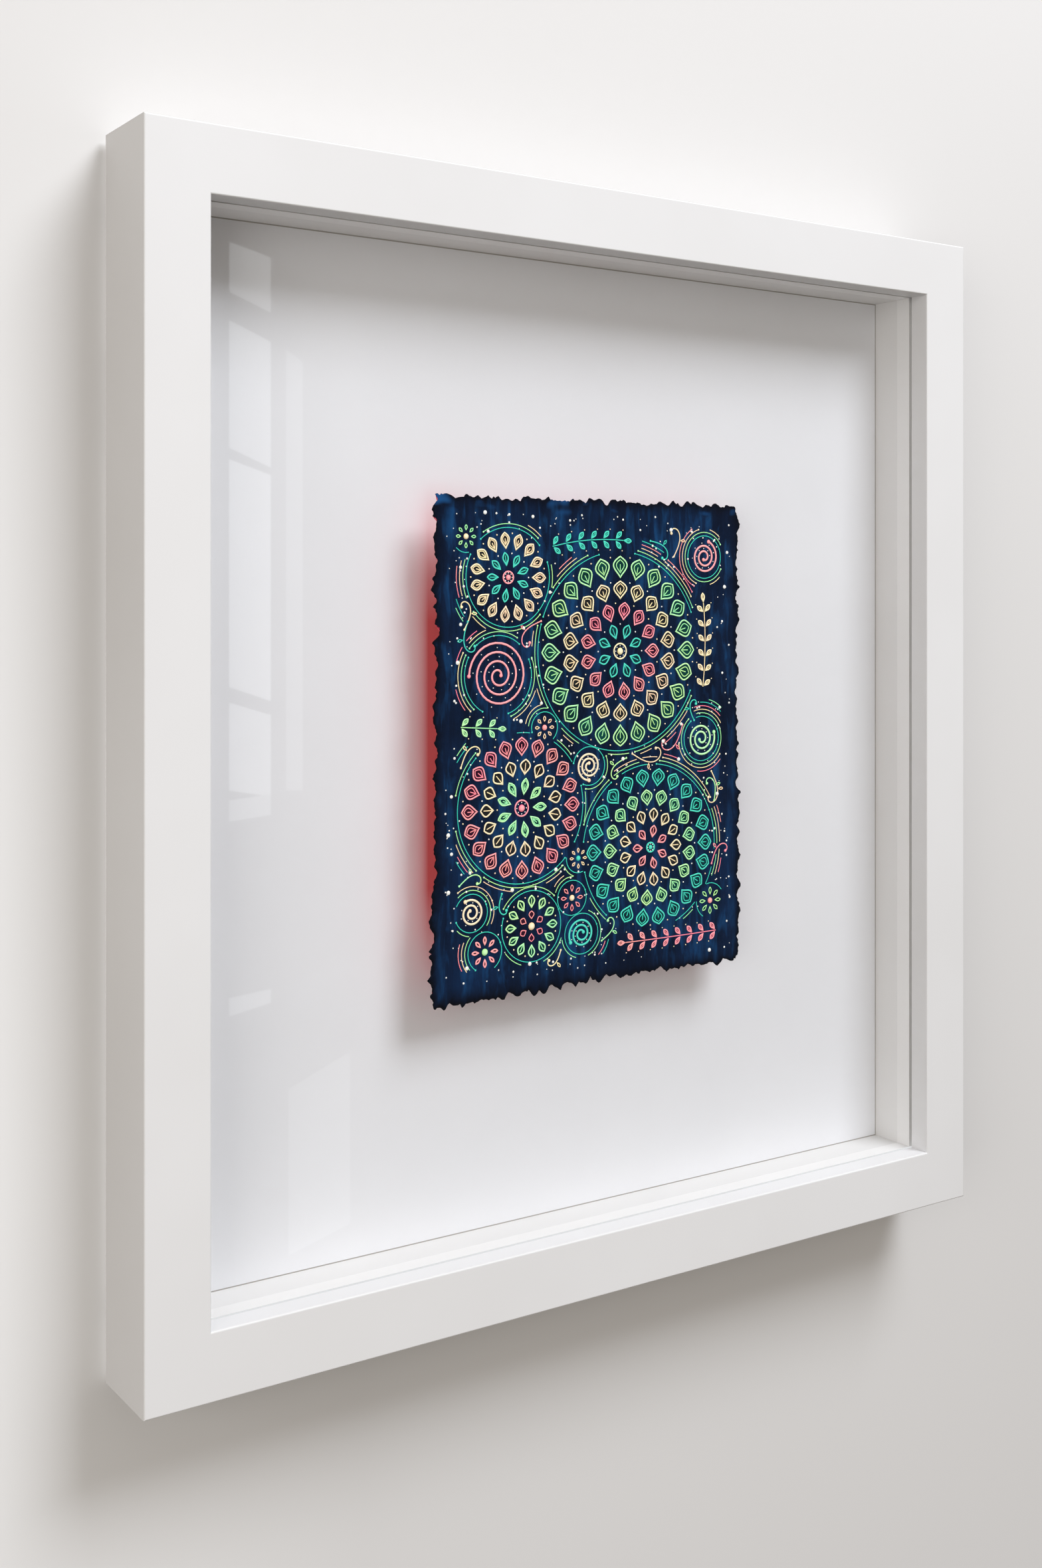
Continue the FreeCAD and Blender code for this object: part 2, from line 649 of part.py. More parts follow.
def near_figure(x, y):
    rounds = [(cx, cy, rings[0][2]) for cx, cy, rings, eye in rosettes]
    rounds += [(cx, cy, radius) for cx, cy, radius, *rest in coils]
    if any(math.hypot(x - cx, y - cy) < radius + dot_clearance for cx, cy, radius in rounds):
        return True
    for foot_x, foot_y, heading, bend, pairs, colour in sprigs:
        for index in range(round(pairs) + 1):
            if math.hypot(x - foot_x, y - foot_y) < leaf_length + 2 + dot_clearance:
                return True
            direction = math.radians(heading + bend * index / pairs)
            foot_x += leaf_pitch * math.cos(direction)
            foot_y += leaf_pitch * math.sin(direction)
    return False


def add_scattered_dots():
    # an even scatter: each try steps on by fixed shares of the grid
    for number in range(1, dot_steps + 1):
        x = ((number * 0.7549) % 1 - 0.5) * (grid_width + 2 * dot_margin)
        y = ((number * 0.5698) % 1 - 0.5) * (grid_height + 2 * dot_margin)
        if not near_figure(x, y):
            inks["white"].append(dot(x, y, 0.7 + 0.4 * (number % 3) / 2))


for rosette in rosettes:
    add_rosette(*rosette)
for coil in coils:
    add_coil(*coil)
for sprig in sprigs:
    add_sprig(*sprig)
add_scattered_dots()
for colour, figures in inks.items():
    add_group("ink_" + colour, figures)

doc.recompute()

for item in doc.Objects:
    if "Invalid" in item.State or "Error" in item.State:
        raise ValueError(f"{item.Label} failed: {item.State}")
for node, item in nodes.items():
    if item.Shape.isNull() or not item.Shape.isValid() or not item.Shape.Solids:
        raise ValueError(node + " has no sound shape")

for node, item in nodes.items():
    item.Shape.exportStep(f"parts/{node}.step")
    print(node, len(item.Shape.Solids), "solids,", round(item.Shape.Volume), "cubic mm")
print(len(nodes), "nodes")
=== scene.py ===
import math
import random

import bpy
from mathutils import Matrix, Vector, noise


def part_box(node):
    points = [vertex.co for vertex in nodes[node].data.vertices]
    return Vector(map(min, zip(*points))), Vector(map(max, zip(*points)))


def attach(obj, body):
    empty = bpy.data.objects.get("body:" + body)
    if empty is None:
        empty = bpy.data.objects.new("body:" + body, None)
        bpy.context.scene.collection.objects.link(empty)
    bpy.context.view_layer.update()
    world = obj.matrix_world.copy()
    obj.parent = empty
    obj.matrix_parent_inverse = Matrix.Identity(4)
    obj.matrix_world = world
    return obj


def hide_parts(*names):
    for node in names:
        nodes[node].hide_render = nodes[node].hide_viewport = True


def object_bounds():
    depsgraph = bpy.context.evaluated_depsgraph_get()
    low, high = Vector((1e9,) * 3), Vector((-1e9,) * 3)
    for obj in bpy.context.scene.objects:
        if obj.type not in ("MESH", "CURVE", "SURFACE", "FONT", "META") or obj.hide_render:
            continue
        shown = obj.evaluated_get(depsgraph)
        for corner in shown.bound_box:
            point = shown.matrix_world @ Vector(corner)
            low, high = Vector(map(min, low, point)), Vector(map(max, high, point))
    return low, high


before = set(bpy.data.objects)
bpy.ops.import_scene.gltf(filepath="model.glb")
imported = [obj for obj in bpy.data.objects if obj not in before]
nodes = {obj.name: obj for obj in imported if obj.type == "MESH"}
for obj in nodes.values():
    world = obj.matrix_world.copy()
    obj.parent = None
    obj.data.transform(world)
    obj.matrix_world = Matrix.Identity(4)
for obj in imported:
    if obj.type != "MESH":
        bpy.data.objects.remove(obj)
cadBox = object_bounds()
mm = 0.001
frameLow, frameHigh = cadBox
print("frame loaded:", len(nodes), "nodes")


class Wire:
    # a socket in a material's nodes; sums on it add Math nodes, and add() makes any other node
    def __init__(self, tree, socket=None):
        self.tree = tree
        self.socket = socket

    def add(self, kind, settings=None, inputs=None, out=0):
        made = self.tree.nodes.new("ShaderNode" + kind)
        for name, setting in (settings or {}).items():
            if name == "stops":
                ramp = made.color_ramp.elements
                while len(ramp) < len(setting):
                    ramp.new(0.5)
                for element, (place, colour) in zip(ramp, setting):
                    element.position = place
                    element.color = (*colour, 1.0)
            else:
                setattr(made, name, setting)
        for name, given in (inputs or {}).items():
            target = made.inputs[name]
            if isinstance(given, Wire):
                self.tree.links.new(given.socket, target)
            elif target.type == "RGBA" and len(given) == 3:
                target.default_value = (*given, 1.0)
            else:
                target.default_value = given
        return Wire(self.tree, made.outputs[out]) if made.outputs else made

    def sum(self, operation, first, second=0.0):
        return self.add("Math", {"operation": operation}, {0: first, 1: second})

    def __add__(self, other):
        return self.sum("ADD", self, other)

    def __radd__(self, other):
        return self.sum("ADD", other, self)

    def __sub__(self, other):
        return self.sum("SUBTRACT", self, other)

    def __rsub__(self, other):
        return self.sum("SUBTRACT", other, self)

    def __mul__(self, other):
        return self.sum("MULTIPLY", self, other)

    def __rmul__(self, other):
        return self.sum("MULTIPLY", other, self)

    def __pow__(self, other):
        return self.sum("POWER", self, other)

    def clamped(self):
        return self.add("Clamp", {}, {0: self})

    def where(self, scale=(1, 1, 1), shift=(0, 0, 0)):
        place = self.add("TexCoord", out="Object")
        return self.add("Mapping", {}, {"Vector": place, "Scale": scale, "Location": shift})

    def grain(self, scale, detail=3.0, stretch=(1, 1, 1), shift=(0, 0, 0), rough=0.55):
        return self.add("TexNoise", {}, {"Vector": self.where(stretch, shift), "Scale": scale,
                                         "Detail": detail, "Roughness": rough})

    def coordinates(self, kind="Object"):
        # across, deep and up, each as a value of its own
        parts = self.add("SeparateXYZ", {}, {0: self.add("TexCoord", out=kind)}).socket.node
        return [Wire(self.tree, part) for part in parts.outputs]

    def between(self, low, high):
        # stretches a value so that low is 0 and high is 1
        return self.add("MapRange", {}, {"Value": self, "From Min": low, "From Max": high})

    def mix(self, share, first, second, blend="MIX"):
        return self.add("Mix", {"data_type": "RGBA", "blend_type": blend},
                        {0: share, 6: first, 7: second}, out=2)

    def bump(self, height, strength, distance):
        return self.add("Bump", {}, {"Height": height, "Strength": strength, "Distance": distance})

    def finish(self, **sockets):
        # the material's own shader: keywords are its sockets, with _ for a space
        inputs = {name.replace("_", " "): given for name, given in sockets.items()}
        shader = self.add("BsdfPrincipled", {}, inputs)
        self.add("OutputMaterial", {}, {"Surface": shader})


def newMaterial(name):
    made = bpy.data.materials.new(name)
    made.use_nodes = True
    made.node_tree.nodes.clear()
    return made, Wire(made.node_tree)


def shaded(colour, share):
    return tuple(share * part for part in colour)


def cleared():
    bpy.ops.object.select_all(action="DESELECT")


def chosen(first, *others):
    # these pieces alone are selected, and the first is the active one
    cleared()
    for piece in (first, *others):
        piece.select_set(True)
    bpy.context.view_layer.objects.active = first


def wholeMesh(operator, **settings):
    # one edit mode operator on all of the active piece's mesh
    bpy.ops.object.mode_set(mode="EDIT")
    bpy.ops.mesh.select_all(action="SELECT")
    operator(**settings)
    bpy.ops.object.mode_set(mode="OBJECT")


def hide(piece, *rays):
    # these kinds of rays don't see the piece
    for kind in rays:
        setattr(piece, "visible_" + kind, False)


def dress(names, material):
    for name in names:
        slots = nodes[name].data.materials
        slots.clear()
        slots.append(material)


# Frame paint: satin white over wood, sprayed, with the faintest orange peel
railPaint = {
    "colour": (0.765, 0.767, 0.775),
    "shadeColour": (0.745, 0.745, 0.75),
    "roughness": 0.36,
    "cloudScale": 9.0,
    "peelScale": 1400.0,
    "brushScale": 60.0,
    "peel": 0.10,
}


def paintRails():
    made, wire = newMaterial("railPaint")
    cloud = wire.grain(railPaint["cloudScale"]).between(0.35, 0.65)
    peel = wire.grain(railPaint["peelScale"], 2.0)
    brush = wire.grain(railPaint["brushScale"])
    colour = wire.mix(cloud, railPaint["shadeColour"], railPaint["colour"])
    height = peel * 0.6 + brush * 0.4
    wire.finish(Base_Color=colour, Roughness=railPaint["roughness"] + cloud * 0.05,
                Normal=wire.bump(height, railPaint["peel"], 0.0002), Specular_IOR_Level=0.45)
    dress(["rail_top", "rail_bottom", "rail_left", "rail_right"], made)


# Boards and spacers: matte white, with a soft tooth
boardWhite = {
    "board": (0.83, 0.832, 0.85),
    "spacer": (0.80, 0.79, 0.775),
    "foam": (0.86, 0.86, 0.85),
    # painted shadow line in the corner where the spacers meet the board, and its width
    "cornerShadow": (0.42, 0.40, 0.37),
    "cornerShadowWidth": 0.0006,
    "tooth": 0.05,
    "toneScale": 14.0,
    # painted glow on the board beside the sheet's left edge: its colour, and where it fades
    "paintedPinkGlow": (0.58, 0.14, 0.14),
    "glowFalloff": 3.0,
    "glowEdge": (-0.1050, -0.0885),
    "glowEnd": (-0.080, -0.060),
    "glowFoot": (0.157, 0.207),
    "glowHead": (0.412, 0.340),
}


def paintedSheetGlow(across, up):
    # painted glow: the pink light from the sheet's reverse, painted into the board beside its left
    # edge, fading outwards and at both ends
    beside = across.between(*boardWhite["glowEdge"]) ** boardWhite["glowFalloff"]
    beside = beside * (1 - across.between(*boardWhite["glowEnd"]))
    return beside * up.between(*boardWhite["glowFoot"]) * up.between(*boardWhite["glowHead"])


def paintedCornerShadow(wire, across, up):
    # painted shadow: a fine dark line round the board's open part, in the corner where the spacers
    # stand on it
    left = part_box("spacer_left")[1].x
    low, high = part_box("spacer_bottom")[1].z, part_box("spacer_top")[0].z
    offMiddle = wire.sum("ABSOLUTE", up - (low + high) / 2)
    side = wire.sum("GREATER_THAN", wire.sum("ABSOLUTE", across), -left - boardWhite["cornerShadowWidth"])
    ends = wire.sum("GREATER_THAN", offMiddle, (high - low) / 2 - boardWhite["cornerShadowWidth"])
    return wire.sum("MAXIMUM", side, ends)


def paintBoards():
    for name, colour, places, fibreScale in (
            ("mountBoard", boardWhite["board"], ["mount_board"], 700.0),
            ("spacerBoard", boardWhite["spacer"],
             ["spacer_top", "spacer_bottom", "spacer_left", "spacer_right"], 500.0),
            ("foamBoard", boardWhite["foam"], ["riser_back", "riser_front"], 260.0)):
        made, wire = newMaterial(name)
        tone = wire.grain(boardWhite["toneScale"], 4.0).between(0.3, 0.7)
        fibre = wire.grain(fibreScale)
        tinted = wire.mix(tone, shaded(colour, 0.975), colour)
        if name == "mountBoard":
            across, deep, up = wire.coordinates()
            # painted glow: the pink light beside the sheet's left edge, put into the board's colour
            tinted = wire.mix(paintedSheetGlow(across, up), tinted, boardWhite["paintedPinkGlow"])
            # painted shadow: a fine dark line in the corners where the spacers meet the board
            tinted = wire.mix(paintedCornerShadow(wire, across, up), tinted, boardWhite["cornerShadow"])
        wire.finish(Base_Color=tinted, Roughness=0.88 + fibre * 0.08, Specular_IOR_Level=0.3,
                    Normal=wire.bump(fibre, boardWhite["tooth"], 0.0003))
        dress(places, made)


# Picture glass: clear, with a thin mirror image on it. Its lower edge, which sits in the rebate,
# has a painted glow:
# it gives off light of its own, for the light that falls down through it.
glass = {
    "tint": (0.992, 0.995, 0.998),
    # the colour of the painted glow on the pane's lower edge
    "edge": (0.80, 0.81, 0.82),
    "ior": 1.5,
    "roughness": 0.015,
    "faces": 1.7,
}


def paintGlass():
    made, wire = newMaterial("pictureGlass")
    clear = wire.add("BsdfTransparent", {}, {"Color": glass["tint"]})
    mirror = wire.add("BsdfGlossy", {}, {"Color": (1, 1, 1), "Roughness": glass["roughness"]})
    behind = wire.add("NewGeometry", out="Backfacing")
    shine = wire.add("Fresnel", {}, {"IOR": glass["ior"]}) * glass["faces"] * (1 - behind)
    mixed = wire.add("MixShader", {}, {0: shine, 1: clear, 2: mirror})
    # painted glow on the part of the pane that sits in the lower rebate
    across, deep, up = wire.coordinates()
    inRebate = wire.sum("LESS_THAN", up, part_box("spacer_bottom")[1].z)
    edge = wire.add("Emission", {}, {"Color": glass["edge"]})
    mixed = wire.add("MixShader", {}, {0: inRebate, 1: mixed, 2: edge})
    wire.add("OutputMaterial", {}, {"Surface": mixed})
    dress(["glazing"], made)


# The back: hardboard, zinc plated steel, dark rubber pads and paper hinges
backFinish = {
    "hardboard": (0.30, 0.165, 0.075),
    "hardboardDark": (0.20, 0.10, 0.042),
    "fleckScale": 420.0,
    "cloudScale": 22.0,
    "steel": (0.62, 0.62, 0.61),
    "drawnLineScale": 300.0,
    "spangleScale": 260.0,
    "rubber": (0.035, 0.035, 0.037),
    "rubberWorn": (0.06, 0.06, 0.06),
    "speckScale": 1500.0,
    "hinge": (0.74, 0.70, 0.60),
    "hingeFibre": (0.82, 0.79, 0.70),
    "fibreScale": 350.0,
}


def paintHardboard():
    made, wire = newMaterial("hardboardBack")
    flecks = wire.grain(backFinish["fleckScale"], 5.0, rough=0.7)
    clouds = wire.grain(backFinish["cloudScale"])
    share = (flecks * 0.7 + clouds * 0.3).between(0.38, 0.62)
    wire.finish(Base_Color=wire.mix(share, backFinish["hardboardDark"], backFinish["hardboard"]),
                Roughness=0.62 + flecks * 0.2, Normal=wire.bump(flecks, 0.25, 0.0004))
    dress(["backing_board"], made)


def paintSteel():
    made, wire = newMaterial("zincSteel")
    drawn = wire.grain(backFinish["drawnLineScale"], stretch=(1, 1, 9))
    spangle = wire.add("TexVoronoi", {}, {"Vector": wire.where(),
                                          "Scale": backFinish["spangleScale"]}, out="Color")
    tone = wire.mix(0.12, backFinish["steel"], spangle, "OVERLAY")
    wire.finish(Base_Color=tone, Metallic=0.95, Roughness=0.28 + drawn * 0.2,
                Normal=wire.bump(drawn, 0.08, 0.0002))
    dress(["v_nails", "framer_points", "hanger_left", "hanger_right", "hanger_screws"], made)


def paintPads():
    made, wire = newMaterial("padRubber")
    speck = wire.grain(backFinish["speckScale"], 2.0)
    wire.finish(Base_Color=wire.mix(speck, backFinish["rubber"], backFinish["rubberWorn"]),
                Roughness=0.65 + speck * 0.2, Normal=wire.bump(speck, 0.2, 0.0002))
    dress([name for name in nodes if name.startswith("bumper_")], made)


def paintHinges():
    made, wire = newMaterial("hingePaper")
    fibre = wire.grain(backFinish["fibreScale"], 4.0, stretch=(1, 1, 5))
    wire.finish(Base_Color=wire.mix(fibre, backFinish["hinge"], backFinish["hingeFibre"]),
                Roughness=0.9, Normal=wire.bump(fibre, 0.3, 0.0002))
    dress([name for name in nodes if name.startswith("hinge_")], made)


paintRails()
paintBoards()
paintGlass()
paintHardboard()
paintSteel()
paintPads()
paintHinges()
print("frame, boards, glass and back finished")

# Paper sheet, in millimetres about its middle. The outline is the same sum of waves as the
# solid's, with a finer tear on it. The other waves are each a length across, a length up and a
# layer of the noise.
sheet = {
    "width": 197.5,
    "height": 250.0,
    "flare": 1.5,
    "cornerRound": 5.0,
    "deckleDepth": 1.7,
    "deckleWaves": [(4, 0.24, 0.15), (9, 0.24, 0.62), (17, 0.24, 0.37), (31, 0.24, 0.81),
                    (53, 0.22, 0.05), (83, 0.16, 0.48)],
    "tear": 1.15,
    "tearInset": 0.25,
    "tearFine": 0.9,
    "tearFineWave": (1.7, 1.7, 5.0),
    "tearCoarse": 2.6,
    "tearCoarseWave": (5.0, 5.0, 9.0),
    "spike": 4.5,
    "spikeFrom": 0.22,
    "spikeWave": (3.4, 3.4, 14.0),
    "droopAcross": 1.2,
    "droopDown": 2.4,
    "columns": 190,
    "rows": 240,
    "softBorder": 10.0,
    "thinBorder": 3.2,
    "darkBorder": 9.0,
    "cockle": 0.55,
    "cockleWave": (62, 48, 3.1),
    "lumps": 0.16,
    "lumpWave": (13, 21, 7.7),
    "tooth": 0.03,
    "toothWave": (3.1, 3.9, 1.3),
    "curl": 0.30,
    "curlWave": (5, 5, 2.0),
    "rough": 0.28,
    "roughWave": (2.0, 2.0, 4.0),
    "rimDrop": 0.22,
    "thickness": 0.8,
    "rimThickness": 0.2,
}
halfWidth, halfHeight = sheet["width"] / 2, sheet["height"] / 2
riserLow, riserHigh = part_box("riser_front")
sheetMiddle = Vector((0.0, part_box("paper_sheet")[0].y, (riserLow.z + riserHigh.z) / 2))


def onPlane(x, y):
    return Vector((sheetMiddle.x + x * mm, sheetMiddle.y, sheetMiddle.z + y * mm))


def ripple(x, y, wave):
    across, up, layer = wave
    return noise.noise(Vector((x / across, y / up, layer)))


def relief(x, y):
    # how far the sheet's face stands off its flat solid towards the viewer, in millimetres
    cockle = sheet["cockle"] * (0.5 + 0.5 * ripple(x, y, sheet["cockleWave"]))
    lumps = sheet["lumps"] * ripple(x, y, sheet["lumpWave"])
    return cockle + lumps + sheet["tooth"] * ripple(x, y, sheet["toothWave"])


def deckle(part):
    waves = sum(size * math.cos(2 * math.pi * (count * part + shift))
                for count, size, shift in sheet["deckleWaves"])
    return sheet["deckleDepth"] * (0.5 + 0.5 * waves)


def tear(x, y):
    # ragged bites and spikes, some of them deep
    fine = sheet["tearFine"] * ripple(x, y, sheet["tearFineWave"])
    coarse = sheet["tearCoarse"] * ripple(x, y, sheet["tearCoarseWave"])
    spike = sheet["spike"] * max(0.0, ripple(x, y, sheet["spikeWave"]) - sheet["spikeFrom"])
    return sheet["tear"] * (sheet["tearInset"] + fine + coarse - spike)


def roundedEdge(part):
    # the untorn edge at a share of the way round, clockwise from the middle of the top, and
    # the way out of the sheet there
    bend = sheet["cornerRound"]
    flatWidth, flatHeight = 2 * (halfWidth - bend), 2 * (halfHeight - bend)
    arc = math.pi / 2 * bend
    runs = [flatWidth / 2, arc, flatHeight, arc, flatWidth, arc, flatHeight, arc, flatWidth / 2]
    along = part * sum(runs)
    side = 0
    while side < len(runs) - 1 and along > runs[side]:
        along -= runs[side]
        side += 1
    quarter = (side // 2) % 4
    if side % 2:
        angle = math.pi / 2 - quarter * math.pi / 2 - along / bend
        cornerX = flatWidth / 2 if quarter in (0, 1) else -flatWidth / 2
        cornerY = flatHeight / 2 if quarter in (0, 3) else -flatHeight / 2
        out = (math.cos(angle), math.sin(angle))
        return cornerX + bend * out[0], cornerY + bend * out[1], *out
    reach = flatWidth if quarter in (0, 2) else flatHeight
    place = along - (0.0 if side == 0 else reach / 2)
    return ((place, halfHeight, 0, 1), (halfWidth, -place, 1, 0),
            (-place, -halfHeight, 0, -1), (-halfWidth, place, -1, 0))[quarter]


def sheetEdge(part):
    # the torn edge at the same share, with the sheet's droop and its narrower top
    x, y, outX, outY = roundedEdge(part)
    inset = deckle(part) + tear(x, y)
    x, y = x - outX * inset, y - outY * inset
    droop = max(0.0, -x / halfWidth) * max(0.0, -y / halfHeight) ** 2
    x, y = x - sheet["droopAcross"] * droop, y - sheet["droopDown"] * droop
    return x * (1 - sheet["flare"] / halfWidth * (y / halfHeight + 1) / 2), y


def edgeShare(x, y):
    # how far round the outline a place on the flat rectangle's border is
    if abs(y) / halfHeight >= abs(x) / halfWidth:
        way = x + halfWidth if y > 0 else 3 * halfWidth + 2 * halfHeight - x
    elif x > 0:
        way = 2 * halfWidth + halfHeight - y
    else:
        way = 4 * halfWidth + 3 * halfHeight + y
    return ((way - halfWidth) / (4 * halfWidth + 4 * halfHeight)) % 1.0


def sheetPoint(u, v):
    # a place of the flat grid moved onto the torn sheet, and how far inside the border it was
    x, y = u * halfWidth, v * halfHeight
    inside = min(halfWidth - abs(x), halfHeight - abs(y))
    if inside < sheet["softBorder"]:
        reach = max(abs(u), abs(v))
        borderX, borderY = x / reach, y / reach
        edgeX, edgeY = sheetEdge(edgeShare(borderX, borderY))
        pull = (1 - inside / sheet["softBorder"]) ** 2
        x += (edgeX - borderX) * pull
        y += (edgeY - borderY) * pull
    return x, y, inside


def modelSheet():
    cleared()
    bpy.ops.mesh.primitive_grid_add(x_subdivisions=sheet["columns"], y_subdivisions=sheet["rows"],
                                    size=2)
    paper = bpy.context.object
    paper.name = "deckledSheet"
    thick = paper.vertex_groups.new(name="thick")
    darkening = []
    for point in paper.data.vertices:
        x, y, inside = sheetPoint(point.co.x, point.co.y)
        thin = max(0.0, 1 - inside / sheet["thinBorder"])
        curl = sheet["curl"] * thin ** 1.6 * (0.4 + ripple(x, y, sheet["curlWave"]))
        rough = sheet["rough"] * thin * ripple(x, y, sheet["roughWave"])
        place = onPlane(x, y)
        place.y -= (relief(x, y) - sheet["rimDrop"] * thin ** 2 + curl + rough) * mm
        point.co = place
        thick.add([point.index], 1 - 0.75 * thin ** 1.2, "REPLACE")
        darkening.append(max(0.0, 1 - inside / sheet["darkBorder"]))
    paper.data.attributes.new("rim", "FLOAT", "POINT").data.foreach_set("value", darkening)
    skin = paper.modifiers.new("thickness", "SOLIDIFY")
    skin.thickness = sheet["thickness"] * mm
    skin.offset = -1
    skin.vertex_group = "thick"
    skin.thickness_vertex_group = sheet["rimThickness"]
    skin.use_rim = True
    skin.material_offset = 1
    skin.material_offset_rim = 0
    paper.data.materials.append(paintedFront())
    paper.data.materials.append(pinkReverse())
    bpy.ops.object.modifier_apply(modifier="thickness")
    bpy.ops.object.shade_smooth()
    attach(paper, "root")
    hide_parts("paper_sheet")
    return paper


# Dark blue paint brushed over rough paper, streaked up and down, near black at the torn rim
bluePaint = {
    "deep": (0.0018, 0.0075, 0.026),
    "body": (0.0040, 0.021, 0.070),
    "bright": (0.008, 0.072, 0.21),
    "rim": (0.0018, 0.0032, 0.009),
    "dab": (0.010, 0.080, 0.24),
    "dabHeight": (0.3925, 0.3985),
    "dabScale": 38.0,
    "strokeStretch": (150, 150, 16),
    "slantStretch": (220, 220, 40),
    "patchScale": 28.0,
    "toothScale": 900.0,
    "weaveScale": 260.0,
    "roughness": 0.62,
}


def paintedFront():
    made, wire = newMaterial("bluePaintedPaper")
    strokes = wire.grain(1.0, 5.0, stretch=bluePaint["strokeStretch"], rough=0.62)
    patches = wire.grain(bluePaint["patchScale"], 4.0, shift=(3, 0, 1))
    slant = wire.add("TexNoise", {}, {"Vector": wire.where(bluePaint["slantStretch"], (5, 2, 0)),
                                      "Scale": 1.0, "Detail": 3.0, "Distortion": 0.6})
    tooth = wire.grain(bluePaint["toothScale"], 4.0)
    weave = wire.grain(bluePaint["weaveScale"], shift=(1, 4, 2))
    lighter = (strokes * 0.55 + patches * 0.45).between(0.40, 0.62)
    gleam = (slant * 0.6 + patches * 0.4).between(0.50, 0.66)
    colour = wire.mix(lighter, bluePaint["deep"], bluePaint["body"])
    colour = wire.mix(gleam * 0.8, colour, bluePaint["bright"])
    rim = wire.add("Attribute", {"attribute_name": "rim"}, out="Fac")
    worn = ((rim ** 1.7) * 1.05 + weave * 0.2 * rim).clamped()
    colour = wire.mix(worn, colour, bluePaint["rim"])
    across, deep, up = wire.coordinates()
    dabs = wire.grain(bluePaint["dabScale"], 2.0, stretch=(1, 1, 2), shift=(0.9, 0, 0))
    dabbed = dabs.between(0.56, 0.66) * up.between(*bluePaint["dabHeight"])
    colour = wire.mix(dabbed, colour, bluePaint["dab"])
    height = tooth * 0.45 + weave * 0.35 + strokes * 0.5
    wire.finish(Base_Color=colour, Roughness=bluePaint["roughness"] + tooth * 0.2,
                Normal=wire.bump(height, 0.5, 0.0006), Specular_IOR_Level=0.14)
    return made


# The reverse: fluorescent pink paint, with a painted glow: light of its own, in a strip along its
# left edge
pinkPaint = {
    "colour": (0.55, 0.10, 0.13),
    "paler": (0.65, 0.12, 0.16),
    # painted glow: its colour, its strength and where along the left edge it lies
    "glow": (1.0, 0.055, 0.12),
    "strength": 0.56,
    "left": (-0.080, -0.094),
    "foot": (0.155, 0.200),
    "head": (0.408, 0.345),
    "streakStretch": (120, 120, 18),
    "toothScale": 700.0,
}


def pinkReverse():
    made, wire = newMaterial("pinkReverse")
    streaks = wire.grain(1.0, 4.0, stretch=pinkPaint["streakStretch"])
    colour = wire.mix(streaks, pinkPaint["colour"], pinkPaint["paler"])
    # painted glow, only in a strip along the left edge and away from both ends
    across, deep, up = wire.coordinates()
    along = up.between(*pinkPaint["foot"]) * up.between(*pinkPaint["head"])
    paintedGlowStrip = wire.mix(across.between(*pinkPaint["left"]) * along, (0, 0, 0), pinkPaint["glow"])
    tooth = wire.grain(pinkPaint["toothScale"])
    wire.finish(Base_Color=colour, Roughness=0.7, Normal=wire.bump(tooth, 0.3, 0.0004),
                Emission_Color=paintedGlowStrip, Emission_Strength=pinkPaint["strength"])
    return made


modelSheet()
print("paper sheet torn and painted")

# The painted figures. They stand on a grid of 168 by 221 mm about the sheet's middle, where the
# solids have them too: rosettes of petals, coils, sprigs of leaves and dots. The three lists
# gather what each ink draws as lines, petals' washes and dots, before it is laid on the sheet.
inkNames = ("pink", "cream", "green", "teal", "white")
lines = {ink: [] for ink in inkNames}
washes = {ink: [] for ink in inkNames}
beads = {ink: [] for ink in inkNames}
pen = {"line": 0.46, "fineLine": 0.30, "height": 0.42}


def onRing(x, y, radius, angle):
    return x + radius * math.cos(angle), y + radius * math.sin(angle)


def drawLine(ink, path, width, closed=False):
    lines[ink].append((path, width, closed))


def drawDot(ink, place, size):
    beads[ink].append((*place, size))


# Petals: the short ones have the fine line, the longer ones a rib and the longest an inner petal
petals = {
    "steps": 11,
    "fineUpTo": 4.6,
    "ribbedOver": 6,
    "rib": (0.16, 0.74),
    "doubledOver": 8.8,
    "inner": (0.20, 0.78, 0.52),  # where it starts and ends, and its width
    "innerRib": (0.32, 0.62),
    "ribSteps": 4,
}


def petalHalf(share):
    return math.sin(math.pi * share ** 1.3)


def petalShape(x, y, angle, length, half, start=0.0, end=1.0, width=1.0):
    # a closed outline of a petal, or of the part of it from start to end, drawn narrower by width
    steps = petals["steps"]
    upper = []
    for step in range(steps + 1):
        share = step / steps
        upper.append((length * (start + (end - start) * share), half * width * petalHalf(share)))
    ring = upper + [(along, -side) for along, side in reversed(upper[1:-1])]
    cosine, sine = math.cos(angle), math.sin(angle)
    return [(x + a * cosine - s * sine, y + a * sine + s * cosine) for a, s in ring]


def petalRib(x, y, angle, length, span):
    start, end = length * span[0], length * span[1]
    steps = petals["ribSteps"]
    return [onRing(x, y, start + (end - start) * step / steps, angle)
            for step in range(steps + 1)]


def drawPetal(ink, x, y, angle, length, half, detail):
    fine = pen["fineLine"]
    line = pen["line"] if length > petals["fineUpTo"] else fine
    inset = line / max(half, 0.1)
    foot = onRing(x, y, line, angle)
    outline = petalShape(*foot, angle, length - 2 * line, half, width=1 - inset)
    drawLine(ink, outline, line, True)
    washes[ink].append((x, y, angle, length, half))
    if detail > 1:
        drawLine(ink, petalShape(*foot, angle, length, half, *petals["inner"]), fine, True)
        drawLine(ink, petalRib(x, y, angle, length, petals["innerRib"]), fine)
    elif detail > 0:
        drawLine(ink, petalRib(x, y, angle, length, petals["rib"]), fine)


